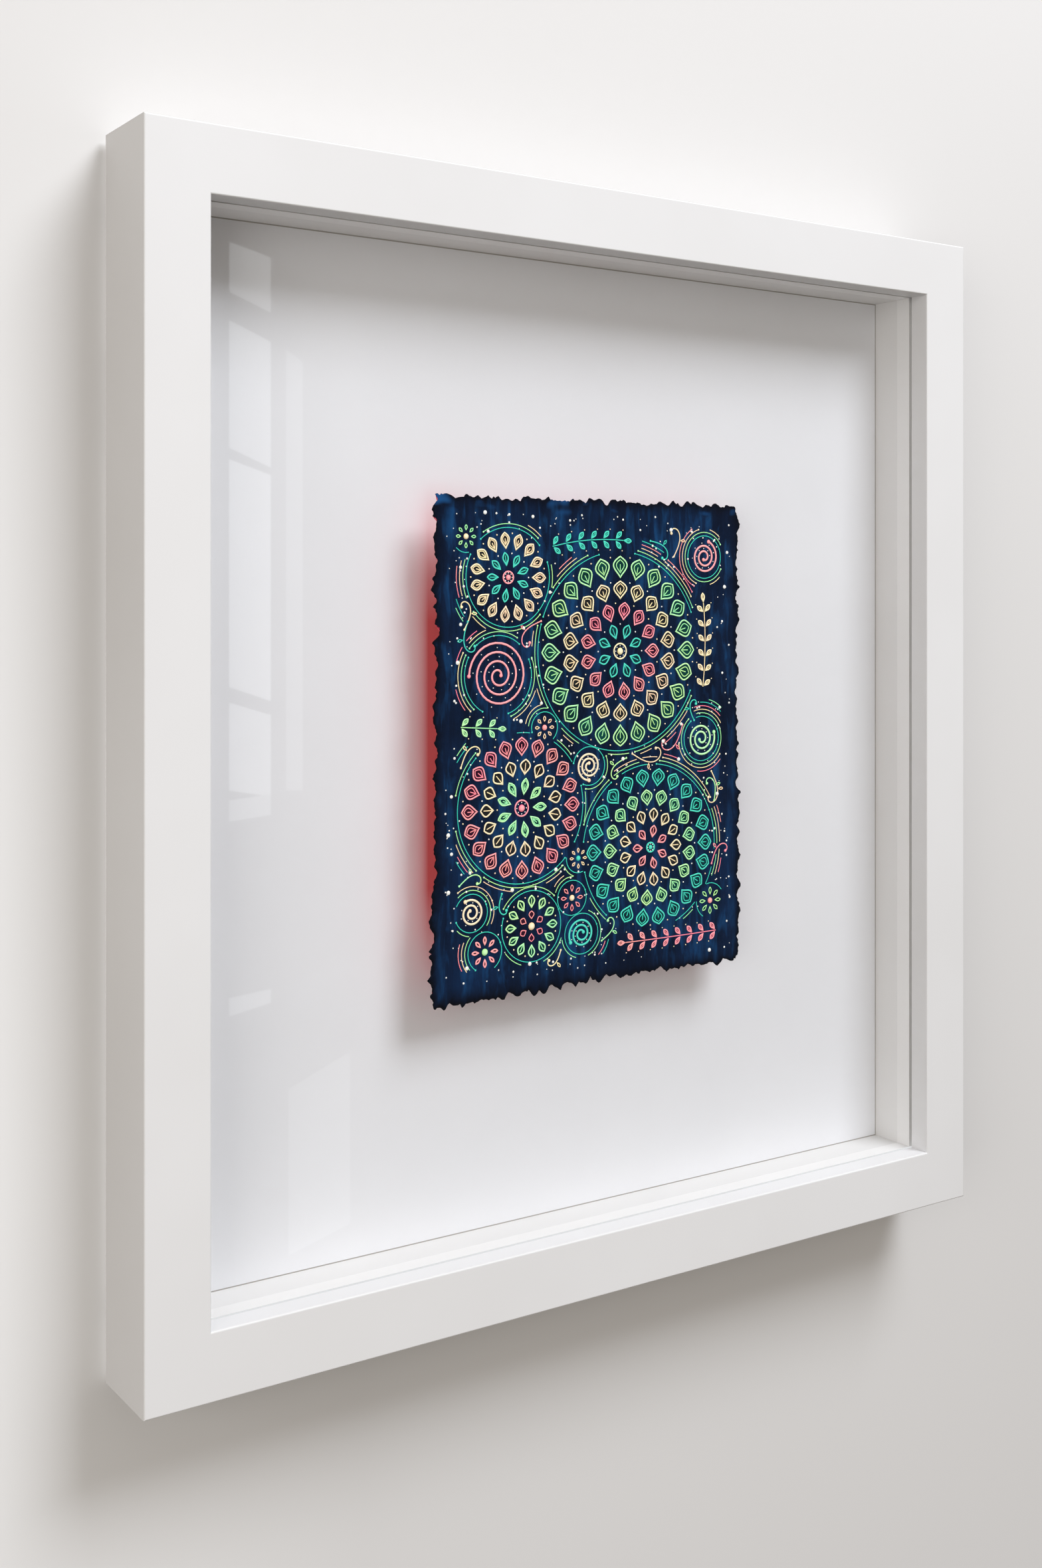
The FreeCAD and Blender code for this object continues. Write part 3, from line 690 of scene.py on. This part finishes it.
# Rosettes: x, y, rings of petals from the outside in, and the eye's radius and ink. A ring is its
# number of petals, inner radius, outer radius and ink.
rosetteStyle = {
    "petalGap": 0.7,
    "halfFrom": (0.82, 0.18),  # shares of a ring's inner and outer radius
    "tipDotsOver": 12,
    "tipDot": 0.42,
    "tipDotInset": 0.8,
    "ringedEyeOver": 2.5,
    "eyeRingInset": 0.5,
    "eyeRingSides": 24,
    "eyeCore": 0.42,
    "eyeDots": 8,
    "eyeDotsAt": 0.64,
    "eyeDot": 0.32,
}
rosettes = [
    (16, 46, [(24, 38, 50, "green"), (18, 27, 37, "cream"), (13, 16, 26, "pink"),
              (8, 6.5, 15, "teal")], (4.5, "cream")),
    (-46, -32, [(20, 26, 36, "pink"), (15, 16.5, 25, "cream"), (9, 6.5, 15.5, "green")],
     (4.5, "pink")),
    (36, -58, [(22, 32, 42, "teal"), (17, 22, 31, "green"), (13, 13, 21, "cream"),
               (7, 5, 12, "pink")], (3, "teal")),
    (-54, 84, [(15, 14, 23, "cream"), (9, 5.5, 13, "teal")], (3.5, "pink")),
    (-40, -92, [(12, 9, 16, "green"), (6, 3.5, 8, "pink")], (2, "cream")),
    (-32, 8, [(8, 2.8, 6, "cream")], (1.5, "pink")),
    (-11, -60, [(8, 2.6, 5.5, "cream")], (1.4, "teal")),
    (-15, -80, [(8, 3, 7, "pink")], (1.6, "cream")),
    (77, -90, [(8, 3, 7.5, "green")], (1.6, "pink")),
    (-68, -102, [(8, 3.2, 8, "pink")], (1.8, "green")),
    (-79, 104, [(8, 2.8, 6, "green")], (1.5, "cream")),
]


def drawEye(x, y, radius, ink):
    if radius > rosetteStyle["ringedEyeOver"]:
        sides, reach = rosetteStyle["eyeRingSides"], radius - rosetteStyle["eyeRingInset"]
        ring = [onRing(x, y, reach, math.tau * step / sides) for step in range(sides)]
        drawLine(ink, ring, pen["line"], True)
        drawDot(ink, (x, y), radius * rosetteStyle["eyeCore"])
        count, reach = rosetteStyle["eyeDots"], radius * rosetteStyle["eyeDotsAt"]
        for step in range(count):
            drawDot("white", onRing(x, y, reach, math.tau * step / count), rosetteStyle["eyeDot"])
    else:
        drawDot(ink, (x, y), radius)


def drawRosette(x, y, rings, eye):
    innerShare, outerShare = rosetteStyle["halfFrom"]
    for number, (count, inner, outer, ink) in enumerate(rings):
        reach = math.sin(math.pi / count)
        half = innerShare * inner * reach + outerShare * outer * reach
        half -= rosetteStyle["petalGap"] / 2
        length = outer - inner
        detail = (length > petals["ribbedOver"]) + (length > petals["doubledOver"])
        for index in range(count):
            angle = 2 * math.pi * (index + 0.5 * (number % 2)) / count
            drawPetal(ink, *onRing(x, y, inner, angle), angle, length, half, detail)
            if outer > rosetteStyle["tipDotsOver"]:
                between = angle + math.pi / count
                place = onRing(x, y, outer - rosetteStyle["tipDotInset"], between)
                drawDot("white" if number % 2 else "cream", place, rosetteStyle["tipDot"])
    drawEye(x, y, *eye)


# Coils: x, y, radius, turns, start angle and ink
coilStyle = {
    "line": 0.60,
    "start": 1.5,
    "stepsPerTurn": 30,
    "footDot": 1.0,
    "endDot": 1.1,
    "dotsPerTurn": 9,
    "firstDot": 3,
    "dotsInside": 0.8,
    "dot": 0.30,
}
coils = [
    (-60, 35, 18, 3.5, 0, "pink"),
    (-4, -13, 8, 2.5, 90, "cream"),
    (71, -2, 10, 2.5, 200, "green"),
    (73, 96, 9.5, 2.5, 250, "pink"),
    (-9, -99, 8.5, 2.5, 30, "teal"),
    (-76, -82, 7.5, 2, 120, "cream"),
]


def drawCoil(x, y, radius, turns, start, ink):
    line, inner = coilStyle["line"], coilStyle["start"]
    steps = int(turns * coilStyle["stepsPerTurn"])
    path = []
    for step in range(steps + 1):
        share = step / steps
        angle = math.radians(start) + math.tau * turns * share
        path.append(onRing(x, y, inner + (radius - inner - line) * share, angle))
    drawLine(ink, path, line)
    drawDot(ink, path[0], coilStyle["footDot"])
    drawDot(ink, path[-1], coilStyle["endDot"])
    count = int(turns * coilStyle["dotsPerTurn"])
    for index in range(coilStyle["firstDot"], count):
        share = index / count
        angle = math.radians(start) + math.tau * turns * share
        reach = inner + (radius - inner - line) * (share + 0.5 / turns)
        if reach < radius - coilStyle["dotsInside"]:
            drawDot("white", onRing(x, y, reach, angle), coilStyle["dot"])


# Sprigs: foot x, foot y, heading, bend in degrees, pairs of leaves and ink
sprigStyle = {
    "leafPitch": 8.0,
    "leafLength": 5.5,
    "leafHalf": 1.5,
    "leafAngle": 48,
    "leafGap": 0.7,
    "tipDot": 0.34,
    "tipDotGap": 1.1,
    "endLeafBack": 2.5,
    "clear": 2,
}
sprigs = [
    (-27, 100, 12, -18, 6, "teal"),
    (-82, 10, -4, 0, 3, "green"),
    (72, 26, 84, 14, 6, "cream"),
    (81, -106.5, 181, -2, 8, "pink"),
]


def drawSprig(x, y, heading, bend, pairs, ink):
    length, half = sprigStyle["leafLength"], sprigStyle["leafHalf"]
    stem = [(x, y)]
    for index in range(pairs):
        direction = math.radians(heading + bend * index / pairs)
        for side in (-1, 1):
            angle = direction + side * math.radians(sprigStyle["leafAngle"])
            foot = onRing(x, y, sprigStyle["leafGap"], angle)
            drawPetal(ink, *foot, angle, length, half, 1)
            tip = onRing(*foot, length + sprigStyle["tipDotGap"], angle)
            drawDot("cream", tip, sprigStyle["tipDot"])
        x, y = onRing(x, y, sprigStyle["leafPitch"], direction)
        stem.append((x, y))
    foot = onRing(x, y, -sprigStyle["endLeafBack"], direction)
    stem[-1] = foot
    drawLine(ink, stem, pen["fineLine"])
    drawPetal(ink, *foot, direction, length, half, 1)


# What is drawn between the figures keeps clear of them
roundFigures = [(x, y, rings[0][2]) for x, y, rings, eye in rosettes]
roundFigures += [(x, y, radius) for x, y, radius, *rest in coils]


def offRound(x, y, own=None):
    # how far a place lies outside the nearest round figure, other than its own
    return min(math.hypot(x - cx, y - cy) - radius
               for number, (cx, cy, radius) in enumerate(roundFigures) if number != own)


def nearLeaves(x, y, spare):
    reach = sprigStyle["leafLength"] + spare + sprigStyle["clear"]
    for footX, footY, heading, bend, pairs, ink in sprigs:
        for index in range(pairs + 1):
            if math.hypot(x - footX, y - footY) < reach:
                return True
            direction = math.radians(heading + bend * index / pairs)
            footX, footY = onRing(footX, footY, sprigStyle["leafPitch"], direction)
    return False


def nearFigure(x, y, spare):
    return offRound(x, y) < spare or nearLeaves(x, y, spare)


# Fine curled stems with a dot at the end: foot x, foot y, heading, curl in degrees, length, ink.
# Each try is a share of the length and which way the stem curls.
tendrilStyle = {
    "line": 0.35,
    "steps": 26,
    "tries": [(1.0, 1), (1.0, -1), (0.8, 1), (0.8, -1), (0.6, 1)],
    "clear": 0.6,
    "turn": 2.2,
    "turnGrowth": 1.4,
    "pace": 2.0,
    "paceLoss": 0.55,
    "endDot": 0.85,
    "footDot": 0.6,
    "leafAt": 3,  # a third of the way along
    "leafAngle": 60,
    "leafGap": 0.4,
    "leafLength": 3.6,
    "leafHalf": 0.9,
}
tendrils = [
    (-34, 62, 200, -280, 17, "pink"),
    (-78, 62, 250, 240, 15, "teal"),
    (-80, 58, 60, -260, 14, "cream"),
    (52, 96, 60, 250, 15, "cream"),
    (66, 8, 120, -260, 14, "teal"),
    (58, 6, 250, 250, 18, "pink"),
    (20, -10, 200, 260, 17, "green"),
    (24, -8, 330, -250, 19, "cream"),
    (78, -20, 300, -250, 17, "cream"),
    (80, -36, 80, 250, 13, "green"),
    (-83, -68, 40, -260, 13, "green"),
    (-58, -74, 250, 240, 13, "teal"),
    (-82, -10, 70, -250, 14, "cream"),
    (4, -104, 30, 250, 13, "green"),
    (-22, -106, 250, -240, 10, "cream"),
    (78, -70, 70, 250, 14, "pink"),
    (36, 104, 350, -240, 14, "teal"),
]
drawnTendrils = []


def tendrilPath(x, y, heading, curl, length):
    steps = tendrilStyle["steps"]
    angle = math.radians(heading)
    path = [(x, y)]
    for step in range(steps):
        share = (step + 0.5) / steps
        grown = share ** tendrilStyle["turnGrowth"]
        angle += math.radians(curl) * tendrilStyle["turn"] * grown / steps
        pace = length * tendrilStyle["pace"] / steps * (1 - tendrilStyle["paceLoss"] * share)
        x, y = onRing(x, y, pace, angle)
        path.append((x, y))
    return path


def drawTendril(x, y, heading, curl, length, ink):
    # shortened, or curled the other way, until it is clear of the figures, or else left out
    for share, way in tendrilStyle["tries"]:
        path = tendrilPath(x, y, heading, curl * way, length * share)
        if not any(nearFigure(*place, tendrilStyle["clear"]) for place in path):
            break
    else:
        return
    drawLine(ink, path, tendrilStyle["line"])
    drawDot(ink, path[-1], tendrilStyle["endDot"])
    drawDot(ink, path[0], tendrilStyle["footDot"])
    side = path[len(path) // tendrilStyle["leafAt"]]
    turned = math.copysign(math.radians(tendrilStyle["leafAngle"]), curl * way)
    angle = math.radians(heading) - turned
    foot = onRing(*side, tendrilStyle["leafGap"], angle)
    drawPetal(ink, *foot, angle, tendrilStyle["leafLength"], tendrilStyle["leafHalf"], 0)
    drawnTendrils.append(path)


# Fine rings that run round the figures, the nearest in the first ink
contours = {
    "inks": ["teal", "green", "cream", "pink", "teal", "green"],
    "first": 2.0,
    "pitch": 1.9,
    "line": 0.25,
    "halfWidth": 85.0,
    "halfHeight": 111.0,
    "stepsPerRadius": 3.2,
    "leastSteps": 16,
    "startAngle": 0.4,
    "figureGap": 0.25,
    "leafGap": 0.6,
    "tendrilGap": 1.3,
    "drawnOver": 4,  # points
    "dottedOver": 12,
    "endDot": 0.5,
}


def contourFree(number, x, y, off):
    inside = abs(x) < contours["halfWidth"] and abs(y) < contours["halfHeight"]
    clear = inside and offRound(x, y, number) > off + contours["figureGap"]
    clear = clear and not nearLeaves(x, y, contours["leafGap"])
    gap = contours["tendrilGap"]
    return clear and all(math.hypot(x - a, y - b) > gap for a, b in tendrilPlaces)


def contourRuns(number, level):
    # one ring round one figure, broken where another figure is nearer
    x, y, radius = roundFigures[number]
    off = contours["first"] + level * contours["pitch"]
    steps = max(contours["leastSteps"], int((radius + off) * contours["stepsPerRadius"]))
    runs, run = [], []
    for step in range(steps + 1):
        place = onRing(x, y, radius + off, math.tau * step / steps + contours["startAngle"])
        if contourFree(number, *place, off):
            run.append(place)
        else:
            runs.append(run)
            run = []
    return [run for run in (*runs, run) if len(run) > contours["drawnOver"]]


def drawContours():
    for number in range(len(roundFigures)):
        for level, ink in enumerate(contours["inks"]):
            for run in contourRuns(number, level):
                drawLine(ink, run, contours["line"])
                if len(run) > contours["dottedOver"]:
                    drawDot(ink, run[0], contours["endDot"])
                    drawDot(ink, run[-1], contours["endDot"])


# Loose dots: larger ones spread evenly, as the solids have them, and fine ones strewn by chance
dots = {
    "large": 190,
    "spread": (0.7549, 0.5698),
    "largeField": (182, 235),
    "largeGap": 2.5,
    "largeSize": 0.7,
    "largeGrowth": 0.4,
    "fine": 900,
    "fineField": (91, 117),
    "fineGap": 0.9,
    "fineSizes": (0.28, 0.34, 0.42, 0.58),
    "seed": 4,
}


def scatterDots():
    width, height = dots["largeField"]
    for number in range(1, dots["large"] + 1):
        x = ((number * dots["spread"][0]) % 1 - 0.5) * width
        y = ((number * dots["spread"][1]) % 1 - 0.5) * height
        if not nearFigure(x, y, dots["largeGap"]):
            drawDot("white", (x, y), dots["largeSize"] + dots["largeGrowth"] * (number % 3) / 2)
    dice = random.Random(dots["seed"])
    across, up = dots["fineField"]
    for number in range(dots["fine"]):
        x, y = dice.uniform(-across, across), dice.uniform(-up, up)
        size = dice.choice(dots["fineSizes"])
        if not nearFigure(x, y, dots["fineGap"]):
            drawDot("white", (x, y), size)


for rosette in rosettes:
    drawRosette(*rosette)
for coil in coils:
    drawCoil(*coil)
for sprig in sprigs:
    drawSprig(*sprig)
for tendril in tendrils:
    drawTendril(*tendril)
tendrilPlaces = [place for path in drawnTendrils for place in path[::2]]
drawContours()
scatterDots()

# Ink: the glow is painted light, which the ink gives off by itself, for the light that the bright
# paint gives back
inkStyle = {
    "glow": 0.22,
    "sheen": 0.15,
    "driftScale": 22.0,
    "highlightShare": 0.95,
    "blotScale": 600.0,
    "poolScale": 160.0,
    "toothScale": 900.0,
}
# each ink: two tones that drift into each other, a painted highlight on top of its lines and dots,
# and the wash inside its petals
inks = {
    "pink": {"tones": [(1.0, 0.10, 0.24), (1.0, 0.29, 0.24)], "crown": (1.0, 0.48, 0.48),
             "wash": (0.055, 0.008, 0.030)},
    "cream": {"tones": [(0.92, 0.72, 0.28), (0.95, 0.50, 0.30)], "crown": (1.0, 0.93, 0.66),
              "wash": (0.030, 0.030, 0.030)},
    "green": {"tones": [(0.09, 0.76, 0.32), (0.44, 0.84, 0.20)], "crown": (0.66, 1.0, 0.55),
              "wash": (0.004, 0.075, 0.065)},
    "teal": {"tones": [(0.006, 0.44, 0.36), (0.012, 0.60, 0.40)], "crown": (0.12, 0.78, 0.60),
             "wash": (0.003, 0.055, 0.070)},
    "white": {"tones": [(0.78, 0.80, 0.78), (0.90, 0.83, 0.68)], "crown": (0.95, 0.95, 0.90)},
}


def inkMaterial(ink):
    made, wire = newMaterial("ink_" + ink)
    first, second = inks[ink]["tones"]
    drift = wire.grain(inkStyle["driftScale"], 2.0, shift=(2, 1, 5)).between(0.40, 0.60)
    colour = wire.mix(drift, first, second)
    # painted highlight: lighter towards the top of each raised line and dot
    crown = wire.add("Attribute", {"attribute_name": "crown"}, out="Fac")
    highlighted = ((crown ** 1.2) * inkStyle["highlightShare"]).clamped()
    colour = wire.mix(highlighted, colour, inks[ink]["crown"])
    blot = wire.grain(inkStyle["blotScale"])
    # painted glow: the ink gives off light of its own
    wire.finish(Base_Color=colour, Roughness=0.50 + blot * 0.2, Emission_Color=colour,
                Emission_Strength=inkStyle["glow"], Normal=wire.bump(blot, 0.2, 0.0002),
                Specular_IOR_Level=inkStyle["sheen"])
    return made


def washMaterial(ink):
    made, wire = newMaterial("wash_" + ink)
    pool = wire.grain(inkStyle["poolScale"]).between(0.3, 0.7)
    tooth = wire.grain(inkStyle["toothScale"], 4.0)
    wash = inks[ink]["wash"]
    wire.finish(Base_Color=wire.mix(pool, shaded(wash, 0.45), wash), Roughness=0.5 + tooth * 0.25,
                Normal=wire.bump(tooth, 0.4, 0.0004), Specular_IOR_Level=0.14)
    return made


def layLines(ink):
    # every line of one ink as a round wire in the sheet's plane, then pressed flatter onto it
    curve = bpy.data.curves.new("lines_" + ink, "CURVE")
    curve.dimensions = "3D"
    curve.bevel_depth = mm
    curve.bevel_resolution = 1
    curve.use_fill_caps = True
    for path, radius, closed in lines[ink]:
        spline = curve.splines.new("POLY")
        spline.points.add(len(path) - 1)
        spline.use_cyclic_u = closed
        for point, (x, y) in zip(spline.points, path):
            point.co = (x * mm, 0.0, y * mm, 1.0)
            point.radius = radius
    wires = bpy.data.objects.new("lines_" + ink, curve)
    bpy.context.scene.collection.objects.link(wires)
    chosen(wires)
    bpy.ops.object.convert(target="MESH")
    made = bpy.context.object
    # how high each point stands on the wire, which sets the painted highlight
    crown = made.data.attributes.new("crown", "FLOAT", "POINT")
    for point in made.data.vertices:
        x, y = point.co.x / mm, point.co.z / mm
        up = -point.co.y / mm
        crown.data[point.index].value = max(0.0, min(1.0, up / pen["line"]))
        place = onPlane(x, y)
        place.y -= (relief(x, y) + up * pen["height"]) * mm
        point.co = place
    return made


def joined(first, copies, name):
    # one piece from a shape that was modelled once and its copies
    chosen(*copies)
    bpy.ops.object.join()
    bpy.data.objects.remove(first)
    made = bpy.context.object
    made.name = name
    return made


def copied(shape):
    # a copy with its own mesh
    copy = shape.copy()
    copy.data = shape.data.copy()
    bpy.context.scene.collection.objects.link(copy)
    return copy


# A dot is a dome, cut off where it sinks into the sheet and flattened
beadStyle = {"sides": 10, "rings": 6, "sunk": 0.25, "height": 0.38}


def layBeads(ink):
    # one dome, modelled once and copied to every dot
    cleared()
    bpy.ops.mesh.primitive_uv_sphere_add(segments=beadStyle["sides"], radius=1.0,
                                         ring_count=beadStyle["rings"],
                                         rotation=(math.pi / 2, 0, 0))
    dome = bpy.context.object
    bpy.ops.object.transform_apply(location=False, rotation=True, scale=False)
    wholeMesh(bpy.ops.mesh.bisect, plane_co=(0, beadStyle["sunk"], 0), plane_no=(0, 1, 0),
              use_fill=True, clear_outer=True)
    # painted highlight: the dome's top is lighter
    crown = dome.data.attributes.new("crown", "FLOAT", "POINT")
    crown.data.foreach_set("value", [max(0.0, -point.co.y) for point in dome.data.vertices])
    copies = []
    for x, y, radius in beads[ink]:
        bead = copied(dome)
        lift = relief(x, y)
        for point in bead.data.vertices:
            place = onPlane(x + point.co.x * radius, y + point.co.z * radius)
            place.y -= (lift - point.co.y * radius * beadStyle["height"]) * mm
            point.co = place
        copies.append(bead)
    return joined(dome, copies, "beads_" + ink)


# The thin wash inside each petal stays a little inside its line and just off the sheet
washStyle = {"along": 8, "across": 4, "inset": 0.2, "lift": 0.06, "mergeWithin": 0.01}


def layWashes(ink):
    # one fine net, bent to every petal
    cleared()
    bpy.ops.mesh.primitive_grid_add(x_subdivisions=washStyle["along"], size=2,
                                    y_subdivisions=washStyle["across"])
    net = bpy.context.object
    copies = []
    for x, y, angle, length, half in washes[ink]:
        petal = copied(net)
        cosine, sine = math.cos(angle), math.sin(angle)
        for point in petal.data.vertices:
            share = (point.co.x + 1) / 2
            side = point.co.y * (half - washStyle["inset"]) * petalHalf(min(share, 1.0))
            px = x + length * share * cosine - side * sine
            py = y + length * share * sine + side * cosine
            place = onPlane(px, py)
            place.y -= (relief(px, py) + washStyle["lift"]) * mm
            point.co = place
        copies.append(petal)
    made = joined(net, copies, "wash_" + ink)
    wholeMesh(bpy.ops.mesh.remove_doubles, threshold=washStyle["mergeWithin"] * mm)
    made.data.materials.append(washMaterial(ink))
    bpy.ops.object.shade_smooth()
    return made


def drawInk(ink):
    made = layBeads(ink)
    if lines[ink]:
        chosen(made, layLines(ink))
        bpy.ops.object.join()
    chosen(made)
    made.name = "figures_" + ink
    made.data.materials.clear()
    made.data.materials.append(inkMaterial(ink))
    bpy.ops.object.shade_smooth()
    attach(made, "root")
    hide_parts("ink_" + ink)
    if washes[ink]:
        wash = layWashes(ink)
        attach(wash, "root")
    print("figures in", ink + ":", len(made.data.polygons), "faces")


for ink in inkNames:
    drawInk(ink)

# Stage: a plain pale wall behind the frame and a floor well below it
stage = {
    "wall": (0.685, 0.68, 0.677),
    # painted light: the wall's colour at its lower left
    "paintedWallLight": (0.79, 0.79, 0.79),
    "leftFrom": (-0.12, -0.30),
    "lowFrom": (0.55, 0.10),
    "wallSize": 14,
    "wallGap": 0.0004,
    "floor": (0.52, 0.515, 0.51),
    "floorGlow": 0.25,
    "floorSize": 16,
    "floorDrop": 0.95,
    "cloudScale": 1.6,
    "roughness": 0.9,
    "sheen": 0.2,
}


def mottled(wire, colour):
    tone = wire.grain(stage["cloudScale"]).between(0.2, 0.8)
    return wire.mix(tone, colour, shaded(colour, 1.02))


def wallPaint():
    # painted light: brighter at the lower left; clear from behind, so that the frame's back can be
    # seen
    made, wire = newMaterial("wallPaint")
    across, up, deep = wire.coordinates()
    paintedLightShare = across.between(*stage["leftFrom"]) * up.between(*stage["lowFrom"])
    colour = wire.mix(paintedLightShare, mottled(wire, stage["wall"]), stage["paintedWallLight"])
    paint = wire.add("BsdfPrincipled", {}, {"Base Color": colour, "Roughness": stage["roughness"],
                                            "Specular IOR Level": stage["sheen"]})
    behind = wire.add("NewGeometry", out="Backfacing")
    both = wire.add("MixShader", {}, {0: behind, 1: paint, 2: wire.add("BsdfTransparent")})
    wire.add("OutputMaterial", {}, {"Surface": both})
    return made


def floorPaint():
    made, wire = newMaterial("floorPaint")
    wire.finish(Base_Color=mottled(wire, stage["floor"]), Roughness=stage["roughness"],
                Specular_IOR_Level=stage["sheen"], Emission_Color=stage["floor"],
                Emission_Strength=stage["floorGlow"])
    return made


def buildStage():
    cleared()
    bpy.ops.mesh.primitive_plane_add(size=stage["wallSize"], rotation=(math.pi / 2, 0, 0),
                                     location=(0, frameHigh.y + stage["wallGap"], 0))
    wall = bpy.context.object
    wall.name = "backdropWall"
    wall.data.materials.append(wallPaint())
    hide(wall, "diffuse", "shadow", "transmission")
    cleared()
    bpy.ops.mesh.primitive_plane_add(size=stage["floorSize"], location=(0, 0, -stage["floorDrop"]))
    floor = bpy.context.object
    floor.name = "paleFloor"
    floor.data.materials.append(floorPaint())
    hide(floor, "diffuse", "glossy")


# Light: a large soft lamp above, in front and to the right, a fill from the left, and lamps
# behind for the back
lamps = {
    "key": {"place": (0.72, -1.78, 2.58), "size": 1.4, "power": 90.0,
            "colour": (0.93, 0.955, 1.0)},
    "fill": {"place": (-2.0, -1.5, 0.45), "size": 1.4, "power": 22.5,
             "colour": (1.0, 0.965, 0.93)},
    "backHigh": {"place": (0.12, 1.9, 1.3), "size": 0.5, "power": 16.0,
                 "colour": (1.0, 0.99, 0.97)},
    "backLow": {"place": (-0.12, 1.9, 0.0), "size": 0.5, "power": 8.0,
                "colour": (0.97, 0.98, 1.0)},
}
worldLight = {
    "above": (0.49, 0.455, 0.415),
    "below": (0.23, 0.205, 0.175),
    "seen": (0.80, 0.79, 0.78),
    "mirrored": 0.04,
    "blend": 0.35,
}


def placeLamps():
    middle = Vector((0, 0, (frameLow.z + frameHigh.z) / 2))
    for name, values in lamps.items():
        light = bpy.data.lights.new(name, "AREA")
        light.shape = "SQUARE"
        light.size = values["size"]
        light.energy = values["power"]
        light.color = values["colour"]
        lamp = bpy.data.objects.new(name, light)
        bpy.context.scene.collection.objects.link(lamp)
        lamp.location = values["place"]
        lamp.rotation_euler = (middle - lamp.location).to_track_quat("-Z", "Y").to_euler()
        hide(lamp, "camera")
        if not name.startswith("back"):
            hide(lamp, "glossy")


def makeWorld():
    world = bpy.data.worlds.new("paleRoom")
    world.use_nodes = True
    world.node_tree.nodes.clear()
    wire = Wire(world.node_tree)
    direct = wire.add("LightPath", out="Is Camera Ray")
    glossy = wire.add("LightPath", out="Is Glossy Ray")
    height = wire.coordinates("Generated")[2].between(-worldLight["blend"], worldLight["blend"])
    sky = wire.mix(height, worldLight["below"], worldLight["above"])
    room = wire.add("Background", {}, {"Color": sky})
    mirrored = wire.add("Background", {}, {"Color": (1, 1, 1), "Strength": worldLight["mirrored"]})
    seen = wire.add("Background", {}, {"Color": worldLight["seen"], "Strength": 1.0})
    unseen = wire.add("MixShader", {}, {0: glossy, 1: room, 2: mirrored})
    both = wire.add("MixShader", {}, {0: direct, 1: unseen, 2: seen})
    wire.add("OutputWorld", {}, {"Surface": both})
    bpy.context.scene.world = world


# A tall window across the room, which only shows as a faint image in the glass. Each pane is
# left x, right x, then the heights of its corners, top left, top right, foot right, foot left,
# and its share of the strength.
window = {
    "distance": 2.7,
    "colour": (0.95, 0.98, 1.0),
    "panes": [
        (1.011, 1.108, 1.114, 1.091, 0.972, 1.008, 1.0),
        (1.011, 1.108, 0.948, 0.910, 0.640, 0.678, 1.0),
        (1.011, 1.108, 0.654, 0.624, 0.139, 0.172, 1.1),
        (1.011, 1.108, 0.139, 0.109, -0.066, -0.047, 1.0),
        (1.011, 1.108, -0.068, -0.060, -0.105, -0.113, 0.7),
        (1.011, 1.108, -0.486, -0.478, -0.508, -0.525, 0.7),
        (1.144, 1.184, 0.896, 0.873, -0.057, -0.055, 0.45),
        (1.150, 1.300, -0.700, -0.640, -1.020, -1.060, 0.35),
    ],
    "strength": 1.3,
}


def hangWindow():
    away = -window["distance"]
    for number, (left, right, *heights, share) in enumerate(window["panes"]):
        made, wire = newMaterial(f"windowGlow_{number}")
        glow = wire.add("Emission", {}, {"Color": window["colour"],
                                         "Strength": window["strength"] * share})
        wire.add("OutputMaterial", {}, {"Surface": glow})
        cleared()
        bpy.ops.mesh.primitive_plane_add(size=1)
        pane = bpy.context.object
        pane.name = f"windowPane_{number}"
        corners = [(left, heights[0]), (right, heights[1]), (left, heights[3]), (right, heights[2])]
        for point, (x, z) in zip(pane.data.vertices, corners):
            point.co = (x, away, z)
        pane.data.materials.append(made)
        hide(pane, "camera", "diffuse", "shadow")


# Camera, level, with its view shifted down as in the photograph
camera = {
    "fromFrontMiddle": (-0.5360, -0.7076, 0.0698),
    "heading": 33.913,
    "lens": 40.074,
    "sensor": 36,
    "shiftDown": 0.11533,
    "clipStart": 0.01,
}


def placeCamera():
    made = bpy.data.cameras.new("viewer")
    made.lens = camera["lens"]
    made.sensor_width = camera["sensor"]
    made.shift_y = -camera["shiftDown"]
    made.clip_start = camera["clipStart"]
    viewer = bpy.data.objects.new("viewer", made)
    bpy.context.scene.collection.objects.link(viewer)
    x, y, z = camera["fromFrontMiddle"]
    middle = (frameLow.z + frameHigh.z) / 2
    viewer.location = (x, frameLow.y + y, middle + z)
    viewer.rotation_euler = (math.pi / 2, 0, -math.radians(camera["heading"]))
    bpy.context.scene.camera = viewer


buildStage()
placeLamps()
makeWorld()
hangWindow()
placeCamera()
bpy.context.scene.view_settings.view_transform = "Standard"
print("stage, lamps and camera placed")
